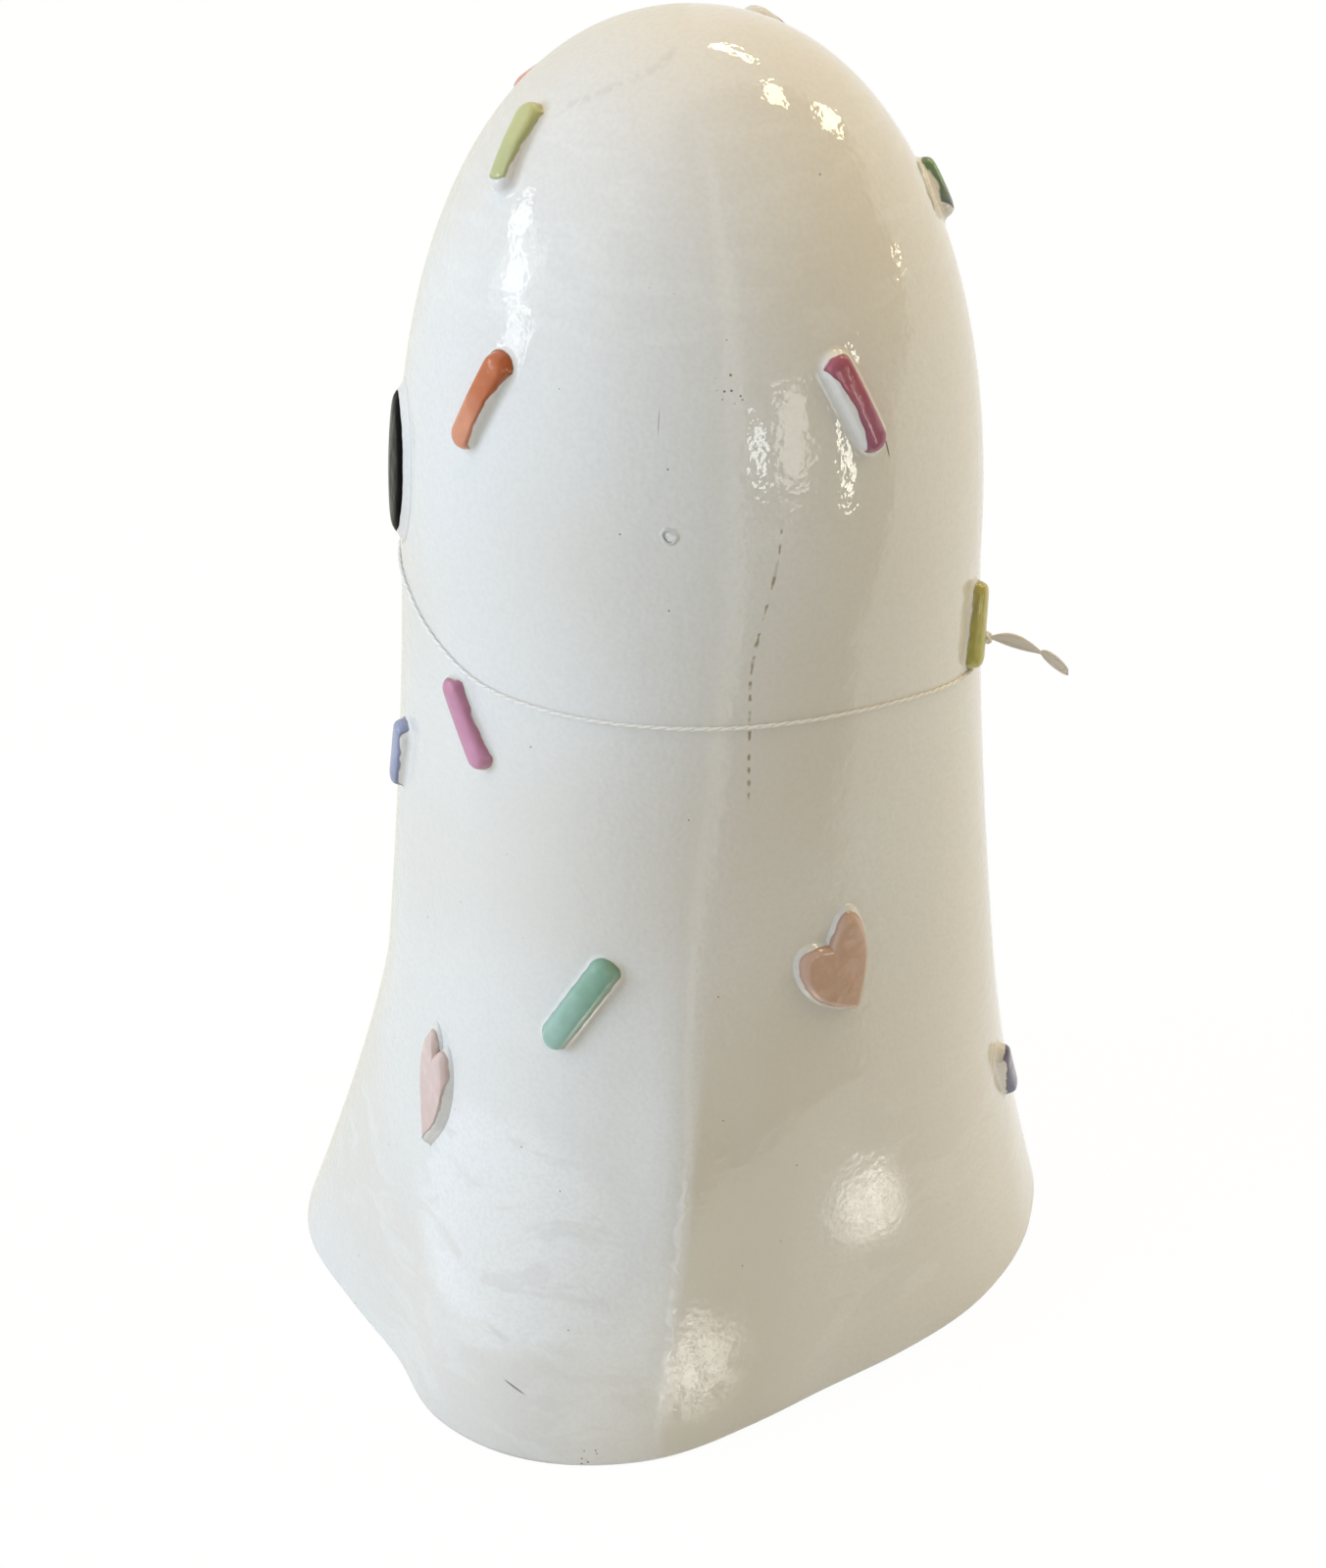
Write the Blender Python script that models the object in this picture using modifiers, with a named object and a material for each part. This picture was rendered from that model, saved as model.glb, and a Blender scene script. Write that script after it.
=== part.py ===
"""A hollow cast ghost figurine, a draped sheet in white gloss paint, with a string tied round it.

The ghost faces -Y and stands on Z = 0. A bearing is an angle round it in degrees, 0 at its
face and growing towards +X, its own left. Sprinkles, hearts and eyes are cast with the body.
"""

import functools
import math

import bmesh
import bpy
import numpy as np
from mathutils import Vector

# Body, in metres
HEIGHT = 0.240
SHOULDER_HEIGHT = 0.153
SHOULDER_RADIUS = 0.0483
DOME_FULLNESS = 2.2
SKIRT_FLARE = 0.0157
SKIRT_CURVE = 1.36
FOLD_HEIGHT = 0.070
FOLD_CURVE = 1.28
HEM_ROUNDING = 0.0015
WALL = 0.0045

# The hem's outline seen from above: bearing in degrees, radius in metres
HEM = (
    (13, 0.0758),
    (32, 0.0680),
    (48, 0.0652),
    (63, 0.0690),
    (78, 0.0685),
    (97, 0.0627),
    (117, 0.0540),
    (135, 0.0502),
    (155, 0.0522),
    (177, 0.0592),
    (197, 0.0668),
    (215, 0.0721),
    (255, 0.0700),
    (290, 0.0607),
    (323, 0.0666),
    (355, 0.0762),
)

# Long soft folds above the hem: bearing, depth, half width in degrees, height of the top.
# A crest is a fold with its depth below zero
LONG_FOLDS = (
    (134, 0.0050, 30, 0.175),
    (46, 0.0016, 15, 0.175),
    (103, -0.0011, 8, 0.118),
)

# Sprinkles
SPRINKLE_WIDTH = 0.0047
SPRINKLE_RELIEF = 0.0024

# Each sprinkle: paint, bearing, height of its middle, turn of its top to the right, length
SPRINKLES = (
    ("sage", 46, 0.2245, -14, 0.0145),
    ("orange", 60.5, 0.191, 23, 0.0175),
    ("mauve", 138, 0.193, -22, 0.017),
    ("olive", 177, 0.1437, 14, 0.0148),
    ("lilac", 58.6, 0.1362, -35, 0.016),
    ("periwinkle", 29.5, 0.1178, 14, 0.014),
    ("mint", 84.8, 0.0918, 31, 0.0205),
    ("slate", 188.5, 0.0455, -28, 0.0155),
    ("leaf", 201, 0.2112, 40, 0.0105),
    ("lilac", 252, 0.2297, 15, 0.017),
    ("coral", 338, 0.2246, -60, 0.012),
    ("orange", 221, 0.178, -30, 0.018),
    ("sage", 232, 0.108, 25, 0.019),
    ("mauve", 222, 0.066, -40, 0.018),
    ("periwinkle", 256, 0.202, 20, 0.018),
    ("mint", 291, 0.178, -25, 0.018),
    ("olive", 266, 0.095, -15, 0.019),
    ("coral", 322, 0.124, 30, 0.018),
    ("leaf", 328, 0.206, -20, 0.017),
    ("slate", 294, 0.058, 25, 0.018),
    ("orange", 334, 0.050, -30, 0.018),
    ("mint", 350, 0.126, 20, 0.017),
    ("lilac", 351, 0.078, 35, 0.018),
)

# Hearts
HEART_RELIEF = 0.0024

# Each heart: bearing, height of its middle, turn of its notch to the right, length, width
HEARTS = (
    (138, 0.0922, -30, 0.0185, 0.0150),
    (49, 0.0596, 14, 0.0205, 0.0125),
    (246, 0.168, 15, 0.0175, 0.0155),
    (318, 0.086, -20, 0.0175, 0.0155),
)

# Eyes
EYE_BEARING = 25
EYE_HEIGHT = 0.170
EYE_WIDTH = 0.017
EYE_LENGTH = 0.0245
EYE_RELIEF = 0.0018

# How deep the root of each raised shape lies in the wall
RELIEF_ROOT = 0.0015

# String
THREAD = 0.0007
CLEARANCE = 0.0003
KNOT_BEARING = 191
KNOT_WIDTH = 0.0020
KNOT_STRETCH = 1.3
TAIL_WIDTH = 0.0024
TAIL_THICKNESS = 0.0004
TAIL_REACH = 0.0138
TAIL_DROP = 0.0070
TAIL_LEAN = 0.3
# Shares of the tail's length: where it is pinched, the middle of its tip and half the tip's length
TAIL_PINCH, TAIL_TIP, TAIL_TIP_HALF = 0.72, 0.84, 0.18

# The string's route round the body: bearing in degrees, height in metres. Its highest point is
# at the face, this far below the eyes
EYE_TO_STRING = 0.00625
FACE_TIE = EYE_HEIGHT - EYE_LENGTH / 2 - EYE_TO_STRING
TIE = (
    (0, FACE_TIE),
    (30, FACE_TIE - 0.0010),
    (43, 0.1475),
    (60, 0.1444),
    (74, 0.1439),
    (100, 0.1437),
    (132, 0.1421),
    (150, 0.1402),
    (168, 0.1371),
    (180, 0.1352),
    (194, 0.1350),
    (225, 0.1390),
    (265, 0.1440),
    (315, FACE_TIE - 0.0015),
)

# Facets
COLUMNS = 60
SKIRT_ROWS = 12
DOME_ROWS = 11
CAVITY_COLUMNS = 40
CAVITY_SKIRT_ROWS = 6
CAVITY_DOME_ROWS = 7
TIE_POINTS = 76
TAIL_STEPS = 10

# Colours, and how rough each finish is
GLOSS, SATIN, BARE = 0.25, 0.5, 0.7
PAINTS = {
    "white_gloss": (0.80, 0.79, 0.75),
    "bare_casting": (0.74, 0.72, 0.66),
    "white_string": (0.82, 0.80, 0.76),
    "eye_black": (0.004, 0.004, 0.004),
    "sage": (0.42, 0.46, 0.22),
    "orange": (0.66, 0.24, 0.11),
    "mauve": (0.38, 0.10, 0.15),
    "olive": (0.36, 0.33, 0.09),
    "lilac": (0.50, 0.23, 0.38),
    "periwinkle": (0.27, 0.32, 0.52),
    "mint": (0.22, 0.42, 0.32),
    "slate": (0.12, 0.12, 0.20),
    "leaf": (0.12, 0.20, 0.08),
    "coral": (0.75, 0.35, 0.28),
    "blush": (0.62, 0.38, 0.30),
}


def ring_value(points, bearing):
    """Value at a bearing of a closed smooth curve through (bearing, value) points."""
    points = sorted(points)
    at = np.array([point[0] for point in points], float)
    value = np.array([point[1] for point in points], float)
    at = np.concatenate([at - 360, at, at + 360])
    value = np.tile(value, 3)
    slope = np.zeros_like(value)
    slope[1:-1] = (value[2:] - value[:-2]) / (at[2:] - at[:-2])
    bearing = np.mod(bearing, 360)
    i = np.clip(np.searchsorted(at, bearing, side="right") - 1, 0, len(at) - 2)
    span = at[i + 1] - at[i]
    t = (bearing - at[i]) / span
    start = (1 + 2 * t) * (1 - t) ** 2 * value[i] + t * (1 - t) ** 2 * span * slope[i]
    end = t**2 * (3 - 2 * t) * value[i + 1] + t**2 * (t - 1) * span * slope[i + 1]
    return start + end


def body_radius(height, bearing, inset=0.0):
    """Radius of the body, or of its cavity, which lies a wall's thickness further in."""
    height = np.asarray(height, float)
    rise = (height - SHOULDER_HEIGHT) / (HEIGHT - inset - SHOULDER_HEIGHT)
    dome = (1 - np.clip(rise, 0, 1) ** DOME_FULLNESS) ** (1 / DOME_FULLNESS)
    below = np.clip(1 - height / SHOULDER_HEIGHT, 0, None)
    fold = np.clip(1 - height / FOLD_HEIGHT, 0, None) ** FOLD_CURVE
    swing = ring_value(HEM, bearing) - SHOULDER_RADIUS - SKIRT_FLARE
    radius = (SHOULDER_RADIUS - inset) * dome + SKIRT_FLARE * below**SKIRT_CURVE + fold * swing
    for middle, depth, width, top in LONG_FOLDS:
        away = (np.mod(bearing - middle + 180, 360) - 180) / width
        rising = np.sin(np.pi * np.clip(height / top, 0, 1)) ** 2
        radius = radius - depth * np.exp(-(away**2)) * rising
    return radius


def hem_middle():
    """Middle of the hem's box about the body's axis, so that the box's middle is the origin."""
    bearing = np.arange(0, 360, 0.5)
    radius = body_radius(HEM_ROUNDING, bearing)
    x = radius * np.sin(np.radians(bearing))
    y = -radius * np.cos(np.radians(bearing))
    return (x.max() + x.min()) / 2, (y.max() + y.min()) / 2


MIDDLE_X, MIDDLE_Y = hem_middle()


def at_bearing(radius, bearing, height):
    """Points at a radius, bearing and height, as an array with a row for each point."""
    angle = np.radians(bearing)
    x = radius * np.sin(angle) - MIDDLE_X
    y = -radius * np.cos(angle) - MIDDLE_Y
    return np.stack(np.broadcast_arrays(x, y, height), -1)


def is_inside(points):
    """Whether each point lies inside the body's outer surface."""
    x = points[..., 0] + MIDDLE_X
    y = points[..., 1] + MIDDLE_Y
    bearing = np.degrees(np.arctan2(x, -y))
    radius = body_radius(points[..., 2], bearing)
    return (np.hypot(x, y) < radius) & (points[..., 2] < HEIGHT)


def surface_frame(bearing, height):
    """A point on the body with its rightward, upward and outward directions."""
    step = 0.0005
    point = at_bearing(body_radius(height, bearing), bearing, height)
    low, high = height - step, min(height + step, HEIGHT)
    rise = at_bearing(body_radius(high, bearing), bearing, high)
    rise = rise - at_bearing(body_radius(low, bearing), bearing, low)
    side = at_bearing(body_radius(height, bearing + 1), bearing + 1, height)
    side = side - at_bearing(body_radius(height, bearing - 1), bearing - 1, height)
    out = np.cross(side, rise)
    out = out / np.linalg.norm(out)
    right = side / np.linalg.norm(side)
    return point, right, np.cross(out, right), out


def laid_on_body(flat, lift, bearing, height, turn):
    """Flat points dropped onto the body round one spot, then lifted by their own amounts."""
    point, right, up, out = surface_frame(bearing, height)
    cos, sin = math.cos(math.radians(turn)), math.sin(math.radians(turn))
    across = flat[:, 0] * cos + flat[:, 1] * sin
    along = flat[:, 1] * cos - flat[:, 0] * sin
    start = point + across[:, None] * right + along[:, None] * up
    near, far = np.full(len(flat), -0.02), np.full(len(flat), 0.01)
    for _ in range(30):
        middle = (near + far) / 2
        inside = is_inside(start + middle[:, None] * out)
        near = np.where(inside, middle, near)
        far = np.where(inside, far, middle)
    return start + (near + lift)[:, None] * out


def clear_scene():
    """Empties the scene and gives it one collection for the ghost and one for its cutters."""
    for obj in list(bpy.data.objects):
        bpy.data.objects.remove(obj, do_unlink=True)
    for name in ("ghost_figurine", "ghost_cutters"):
        bpy.context.scene.collection.children.link(bpy.data.collections.new(name))


def finish(name, roughness):
    """A finish of this name's colour, made when it is first asked for."""
    material = bpy.data.materials.get(name)
    if material is None:
        color = PAINTS[name]
        material = bpy.data.materials.new(name)
        material.use_nodes = True
        shader = material.node_tree.nodes["Principled BSDF"]
        shader.inputs["Base Color"].default_value = (*color, 1)
        shader.inputs["Roughness"].default_value = roughness
        material.diffuse_color = (*color, 1)
    return material


def add_object(name, mesh, material, collection="ghost_figurine"):
    """An object of this mesh in one of the two collections, shaded smooth."""
    obj = bpy.data.objects.new(name, mesh)
    mesh.materials.append(material)
    mesh.shade_smooth()
    bpy.data.collections[collection].objects.link(obj)
    if collection == "ghost_cutters":
        obj.hide_render = True
        obj.display_type = "WIRE"
    return obj


def mesh_from(name, shape):
    """A mesh with this bmesh's faces, all turned outwards."""
    bmesh.ops.recalc_face_normals(shape, faces=shape.faces)
    mesh = bpy.data.meshes.new(name)
    shape.to_mesh(mesh)
    shape.free()
    return mesh


def place_vertices(shape, points):
    """Moves each vertex of the bmesh to its own row of the array."""
    for vert, point in zip(shape.verts, points):
        vert.co = Vector(point)


def bent_grid(name, columns, skirt, dome, foot, inset):
    """The body's surface, or its cavity's: a flat grid bent round the axis and closed below."""
    crown = HEIGHT - inset
    lean = np.linspace(0, math.pi / 2, dome + 1)[1:]
    above = SHOULDER_HEIGHT + (crown - SHOULDER_HEIGHT) * np.sin(lean)
    heights = np.concatenate([foot, np.linspace(foot[-1], SHOULDER_HEIGHT, skirt + 1)[1:], above])
    shape = bmesh.new()
    bmesh.ops.create_grid(shape, x_segments=columns, y_segments=len(heights) - 1, size=1)
    flat = np.array([vert.co[:] for vert in shape.verts])
    bearing = (flat[:, 0] + 1) * 180
    row = np.round((flat[:, 1] + 1) / 2 * (len(heights) - 1)).astype(int)
    height = heights[row]
    radius = body_radius(height, bearing, inset)
    if inset == 0:
        low = np.clip(1 - height / HEM_ROUNDING, 0, 1)
        radius = radius - HEM_ROUNDING * (1 - np.sqrt(1 - low**2))
    place_vertices(shape, at_bearing(radius, bearing, height))
    bmesh.ops.remove_doubles(shape, verts=shape.verts, dist=1e-6)
    bmesh.ops.holes_fill(shape, edges=shape.edges, sides=0)
    return mesh_from(name, shape)


def boolean(obj, operation, **operand):
    """A Boolean modifier with the exact solver."""
    modifier = obj.modifiers.new(operation.lower(), "BOOLEAN")
    modifier.operation = operation
    modifier.solver = "EXACT"
    modifier.material_mode = "TRANSFER"
    for key, value in operand.items():
        setattr(modifier, key, value)


def sprinkle(number, paint, bearing, height, turn, length):
    """A sprinkle: a stretched sphere half sunk in the body, with steep sides and round ends."""
    shape = bmesh.new()
    bmesh.ops.create_uvsphere(shape, u_segments=12, v_segments=7, radius=1)
    ball = np.array([vert.co[:] for vert in shape.verts])
    half = SPRINKLE_WIDTH / 2
    straight = length / 2 - half
    flat = np.stack([ball[:, 0] * half, ball[:, 2] * half + np.sign(ball[:, 2]) * straight], 1)
    lift = np.where(ball[:, 1] > 0, ball[:, 1] * SPRINKLE_RELIEF, -RELIEF_ROOT)
    lift = np.where(np.abs(ball[:, 1]) < 1e-6, 0, lift)
    place_vertices(shape, laid_on_body(flat, lift, bearing, height, turn))
    name = f"sprinkle_{number}"
    return add_object(name, mesh_from(name, shape), finish(paint, GLOSS), "ghost_cutters")


def cushion(name, outline, relief, bearing, height, turn, material):
    """A raised patch with a rounded rim: a sphere's rings scaled to an outline."""
    shape = bmesh.new()
    bmesh.ops.create_uvsphere(shape, u_segments=20, v_segments=8, radius=1)
    ball = np.array([vert.co[:] for vert in shape.verts])
    reach = np.hypot(ball[:, 0], ball[:, 1])
    flat = outline(np.arctan2(ball[:, 0], ball[:, 1])) * reach[:, None]
    lift = relief * np.sqrt(np.clip(1 - reach**4, 0, 1))
    lift = np.where(ball[:, 2] > -1e-6, lift, -RELIEF_ROOT)
    place_vertices(shape, laid_on_body(flat, lift, bearing, height, turn))
    return add_object(name, mesh_from(name, shape), material, "ghost_cutters")


def heart_outline(angle, length, width):
    """A soft heart about its own middle: a power of the sine across, four cosines up."""
    across = width / 2 * np.sign(np.sin(angle)) * np.abs(np.sin(angle)) ** 2.3
    up = 13 * np.cos(angle) - 4 * np.cos(2 * angle) - 1.5 * np.cos(3 * angle)
    up = up - 0.5 * np.cos(4 * angle)
    return np.stack([across, length * (up + 2.6) / 26.8], 1)


def eye_outline(angle):
    """An upright oval."""
    return np.stack([EYE_WIDTH / 2 * np.sin(angle), EYE_LENGTH / 2 * np.cos(angle)], 1)


def ghost_body():
    """The casting: outer skin less its cavity, joined with every raised sprinkle, heart and eye."""
    foot = HEM_ROUNDING * (1 - np.cos(np.linspace(0, math.pi / 2, 4)))
    skin = bent_grid("ghost_body", COLUMNS, SKIRT_ROWS, DOME_ROWS, foot, 0.0)
    body = add_object("ghost_body", skin, finish("white_gloss", GLOSS))

    below = np.array([-WALL])
    hollow = bent_grid(
        "cavity", CAVITY_COLUMNS, CAVITY_SKIRT_ROWS, CAVITY_DOME_ROWS, below, WALL
    )
    cavity = add_object("cavity", hollow, finish("bare_casting", BARE), "ghost_cutters")
    boolean(body, "DIFFERENCE", object=cavity)

    raised = bpy.data.collections.new("ghost_relief")
    bpy.data.collections["ghost_cutters"].children.link(raised)
    shapes = [sprinkle(number, *spot) for number, spot in enumerate(SPRINKLES, 1)]
    blush = finish("blush", GLOSS)
    for number, (bearing, height, turn, length, width) in enumerate(HEARTS, 1):
        outline = functools.partial(heart_outline, length=length, width=width)
        name = f"heart_{number}"
        shapes.append(cushion(name, outline, HEART_RELIEF, bearing, height, turn, blush))
    black = finish("eye_black", GLOSS)
    for side, sign in (("left", 1), ("right", -1)):
        name = f"{side}_eye"
        bearing = sign * EYE_BEARING
        shapes.append(cushion(name, eye_outline, EYE_RELIEF, bearing, EYE_HEIGHT, 0, black))
    for shape in shapes:
        bpy.data.collections["ghost_cutters"].objects.unlink(shape)
        raised.objects.link(shape)
    boolean(body, "UNION", operand_type="COLLECTION", collection=raised)


def as_mesh(curve_object):
    """A mesh of a curve object, which it replaces."""
    bpy.context.view_layer.update()
    evaluated = curve_object.evaluated_get(bpy.context.evaluated_depsgraph_get())
    mesh = bpy.data.meshes.new_from_object(evaluated)
    bpy.data.objects.remove(curve_object, do_unlink=True)
    shape = bmesh.new()
    shape.from_mesh(mesh)
    bmesh.ops.remove_doubles(shape, verts=shape.verts, dist=1e-6)
    shape.to_mesh(mesh)
    shape.free()
    return mesh


def thread_loop():
    """The string's loop: a round thread that lies on the body all the way round."""
    bearing = np.arange(TIE_POINTS) * 360 / TIE_POINTS
    height = ring_value(TIE, bearing)
    radius = body_radius(height, bearing) + CLEARANCE + THREAD / 2
    curve = bpy.data.curves.new("thread", "CURVE")
    curve.dimensions = "3D"
    curve.bevel_depth = THREAD / 2
    curve.bevel_resolution = 2
    spline = curve.splines.new("POLY")
    spline.points.add(TIE_POINTS - 1)
    for point, place in zip(spline.points, at_bearing(radius, bearing, height)):
        point.co = (*place, 1)
    spline.use_cyclic_u = True
    loop = bpy.data.objects.new("thread", curve)
    bpy.context.scene.collection.objects.link(loop)
    return as_mesh(loop)


def knot_centre():
    """The middle of the knot, which lies against the body on the string's route."""
    height = float(ring_value(TIE, KNOT_BEARING))
    radius = float(body_radius(height, KNOT_BEARING)) + CLEARANCE + KNOT_WIDTH / 2
    return at_bearing(radius, KNOT_BEARING, height)


def tail_strip(material):
    """The string's loose end: a flat film, pinched once, that stands out and droops."""
    shape = bmesh.new()
    bmesh.ops.create_grid(shape, x_segments=2, y_segments=TAIL_STEPS, size=1)
    flat = np.array([vert.co[:] for vert in shape.verts])
    along = (flat[:, 1] + 1) / 2
    leaf = np.sin(np.pi * np.clip(along / TAIL_PINCH, 0, 1))
    tip = np.sqrt(np.clip(1 - ((along - TAIL_TIP) / TAIL_TIP_HALF) ** 2, 0, 1))
    width = np.maximum(THREAD, TAIL_WIDTH * np.maximum(leaf, tip))
    _, right, up, out = surface_frame(KNOT_BEARING, float(ring_value(TIE, KNOT_BEARING)))
    spread = flat[:, 0] * width / 2
    centre = knot_centre() + np.outer(along * TAIL_REACH, out) - np.outer(along**2 * TAIL_DROP, up)
    place_vertices(shape, centre + np.outer(spread, up) + np.outer(spread * TAIL_LEAN, right))
    strip = add_object("tail", mesh_from("tail", shape), material, "ghost_cutters")
    solidify = strip.modifiers.new("thickness", "SOLIDIFY")
    solidify.thickness = TAIL_THICKNESS
    solidify.offset = 0
    return strip


def knot_lump(material):
    """The knot: two turns of thread drawn into a small egg, longer along the string."""
    shape = bmesh.new()
    bmesh.ops.create_uvsphere(shape, u_segments=12, v_segments=8, radius=KNOT_WIDTH / 2)
    ball = np.array([vert.co[:] for vert in shape.verts])
    _, right, up, out = surface_frame(KNOT_BEARING, float(ring_value(TIE, KNOT_BEARING)))
    points = ball[:, [0]] * KNOT_STRETCH * right + ball[:, [1]] * out + ball[:, [2]] * up
    place_vertices(shape, knot_centre() + points)
    return add_object("knot", mesh_from("knot", shape), material, "ghost_cutters")


def tie_string():
    """The string: its loop, its knot and its loose end, in one piece."""
    white = finish("white_string", SATIN)
    string = add_object("tie_string", thread_loop(), white)
    boolean(string, "UNION", object=knot_lump(white))
    boolean(string, "UNION", object=tail_strip(white))


clear_scene()
ghost_body()
tie_string()
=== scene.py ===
# %% [markdown]
# A ghost figurine: a hollow clay casting shaped like a draped sheet, sprayed in white gloss
# enamel. Its sprinkles, hearts and eyes are cast with it and painted by hand, and a thin
# string is tied round it. This file dresses the packed solids: it loads them as a fixed
# frame, builds finer surfaces on the same formulas, gives each one its finish, and lights it.

# %% Load the packed solids
import math

import bmesh
import bpy
import numpy as np
from mathutils import Matrix, Vector


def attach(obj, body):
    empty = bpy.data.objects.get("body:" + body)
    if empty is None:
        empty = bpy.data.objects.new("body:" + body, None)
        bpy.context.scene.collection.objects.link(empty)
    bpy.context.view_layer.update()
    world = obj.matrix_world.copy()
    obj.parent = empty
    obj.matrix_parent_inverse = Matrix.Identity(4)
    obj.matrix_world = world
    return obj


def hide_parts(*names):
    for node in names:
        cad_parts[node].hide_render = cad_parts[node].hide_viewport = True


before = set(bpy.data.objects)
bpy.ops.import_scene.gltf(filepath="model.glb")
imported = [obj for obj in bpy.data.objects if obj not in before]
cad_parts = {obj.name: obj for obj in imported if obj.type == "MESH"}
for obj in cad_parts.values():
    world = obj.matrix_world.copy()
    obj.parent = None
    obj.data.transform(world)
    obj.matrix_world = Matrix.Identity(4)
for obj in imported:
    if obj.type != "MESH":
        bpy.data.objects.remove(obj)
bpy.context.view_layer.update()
print("solids:", sorted(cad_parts))

# %% [markdown]
# The ghost's form is one radius for each height and each bearing round its axis. A bearing is
# 0 at the face and grows towards the ghost's own left. A lathe profile could give the dome, but
# not the folds of the hem, so the hem's outline is a closed curve through measured points that
# swings the lower part in and out. The solids follow the same formula, so both agree.

# %% The body's sizes, in metres
HEIGHT = 0.240
SHOULDER_HEIGHT, SHOULDER_RADIUS = 0.153, 0.0483
DOME_FULLNESS = 2.2
SKIRT_FLARE, SKIRT_CURVE = 0.0157, 1.36
FOLD_HEIGHT, FOLD_CURVE = 0.070, 1.28
HEM_ROUNDING, WALL = 0.0015, 0.0045
HEM = np.array([
    (13, 0.0758), (32, 0.0680), (48, 0.0652), (63, 0.0690), (78, 0.0685), (97, 0.0627),
    (117, 0.0540), (135, 0.0502), (155, 0.0522), (177, 0.0592), (197, 0.0668), (215, 0.0721),
    (255, 0.0700), (290, 0.0607), (323, 0.0666), (355, 0.0762),
])
# Long dents: bearing, depth, width in degrees and top. The last one is a crest, so its depth is
# below zero
LONG_FOLDS = ((134, 0.0050, 30, 0.175), (46, 0.0016, 15, 0.175), (103, -0.0015, 7, 0.118))


def ring_value(points, bearing):
    """Value at a bearing of a closed smooth curve through (bearing, value) rows: on each span
    a cubic whose end slopes are those of the line between the neighbours."""
    points = points[np.argsort(points[:, 0])]
    at = np.concatenate([points[:, 0] - 360, points[:, 0], points[:, 0] + 360])
    value = np.tile(points[:, 1], 3)
    slope = np.zeros_like(value)
    slope[1:-1] = (value[2:] - value[:-2]) / (at[2:] - at[:-2])
    bearing = np.mod(bearing, 360)
    i = np.clip(np.searchsorted(at, bearing, side="right") - 1, 0, len(at) - 2)
    span = at[i + 1] - at[i]
    t = (bearing - at[i]) / span
    start = (1 + 2 * t) * (1 - t) ** 2 * value[i] + t * (1 - t) ** 2 * span * slope[i]
    end = t**2 * (3 - 2 * t) * value[i + 1] + t**2 * (t - 1) * span * slope[i + 1]
    return start + end


def body_radius(height, bearing, inset=0.0):
    """Radius of the skin: a superellipse dome, a skirt that widens as a power of the depth
    below the shoulder, hem folds that fade out upwards, long soft dents and a crest. An inset
    gives the cavity, a wall's thickness further in."""
    rise = (height - SHOULDER_HEIGHT) / (HEIGHT - inset - SHOULDER_HEIGHT)
    dome = (1 - np.clip(rise, 0, 1) ** DOME_FULLNESS) ** (1 / DOME_FULLNESS)
    below = np.clip(1 - height / SHOULDER_HEIGHT, 0, None)
    fold = np.clip(1 - height / FOLD_HEIGHT, 0, None) ** FOLD_CURVE
    swing = ring_value(HEM, bearing) - SHOULDER_RADIUS - SKIRT_FLARE
    radius = (SHOULDER_RADIUS - inset) * dome + SKIRT_FLARE * below**SKIRT_CURVE + fold * swing
    for middle, depth, width, top in LONG_FOLDS:
        away = (np.mod(bearing - middle + 180, 360) - 180) / width
        rising = np.sin(np.pi * np.clip(height / top, 0, 1)) ** 2
        radius = radius - depth * np.exp(-(away**2)) * rising
    return radius


# %% Places round the axis
bearings = np.arange(0, 360, 0.5)
rim = body_radius(np.full(len(bearings), HEM_ROUNDING), bearings)
rim_x, rim_y = rim * np.sin(np.radians(bearings)), -rim * np.cos(np.radians(bearings))
AXIS_X, AXIS_Y = -(rim_x.max() + rim_x.min()) / 2, -(rim_y.max() + rim_y.min()) / 2
print("the body's axis in mm:", round(1000 * AXIS_X, 2), round(1000 * AXIS_Y, 2))


def at_bearing(radius, bearing, height):
    """Points at a radius, bearing and height, with x as the sine and y as minus the cosine."""
    angle = np.radians(bearing)
    x, y = AXIS_X + radius * np.sin(angle), AXIS_Y - radius * np.cos(angle)
    return np.stack(np.broadcast_arrays(x, y, height), -1)


def skin_frame(bearing, height):
    """A point of the skin with its rightward, upward and outward directions, from differences
    of the surface a little to each side. Arrays give one row for each point."""
    step = 0.0005
    low, high = height - step, np.minimum(height + step, HEIGHT)
    rise = at_bearing(body_radius(high, bearing), bearing, high)
    rise = rise - at_bearing(body_radius(low, bearing), bearing, low)
    side = at_bearing(body_radius(height, bearing + 1), bearing + 1, height)
    side = side - at_bearing(body_radius(height, bearing - 1), bearing - 1, height)
    out = np.cross(side, rise)
    out = out / np.linalg.norm(out, axis=-1, keepdims=True)
    right = side / np.linalg.norm(side, axis=-1, keepdims=True)
    point = at_bearing(body_radius(height, bearing), bearing, height)
    return point, right, np.cross(out, right), out


# %% [markdown]
# Every new piece here is a grid of points that a formula gives, joined by four-sided faces.
# One helper turns such a grid into a mesh. A grid whose first and last rows shrink to a point
# or a line is welded shut there, and the sign of the enclosed volume says which way the faces
# look, so each piece is closed and faces outwards.

# %% From a grid of points to a piece
WELD = 1e-6


def grid_faces(index):
    """Four corners for each cell of a grid of point numbers."""
    corners = [index[:-1, :-1], index[:-1, 1:], index[1:, 1:], index[1:, :-1]]
    return np.stack(corners, -1).reshape(-1, 4)


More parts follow.
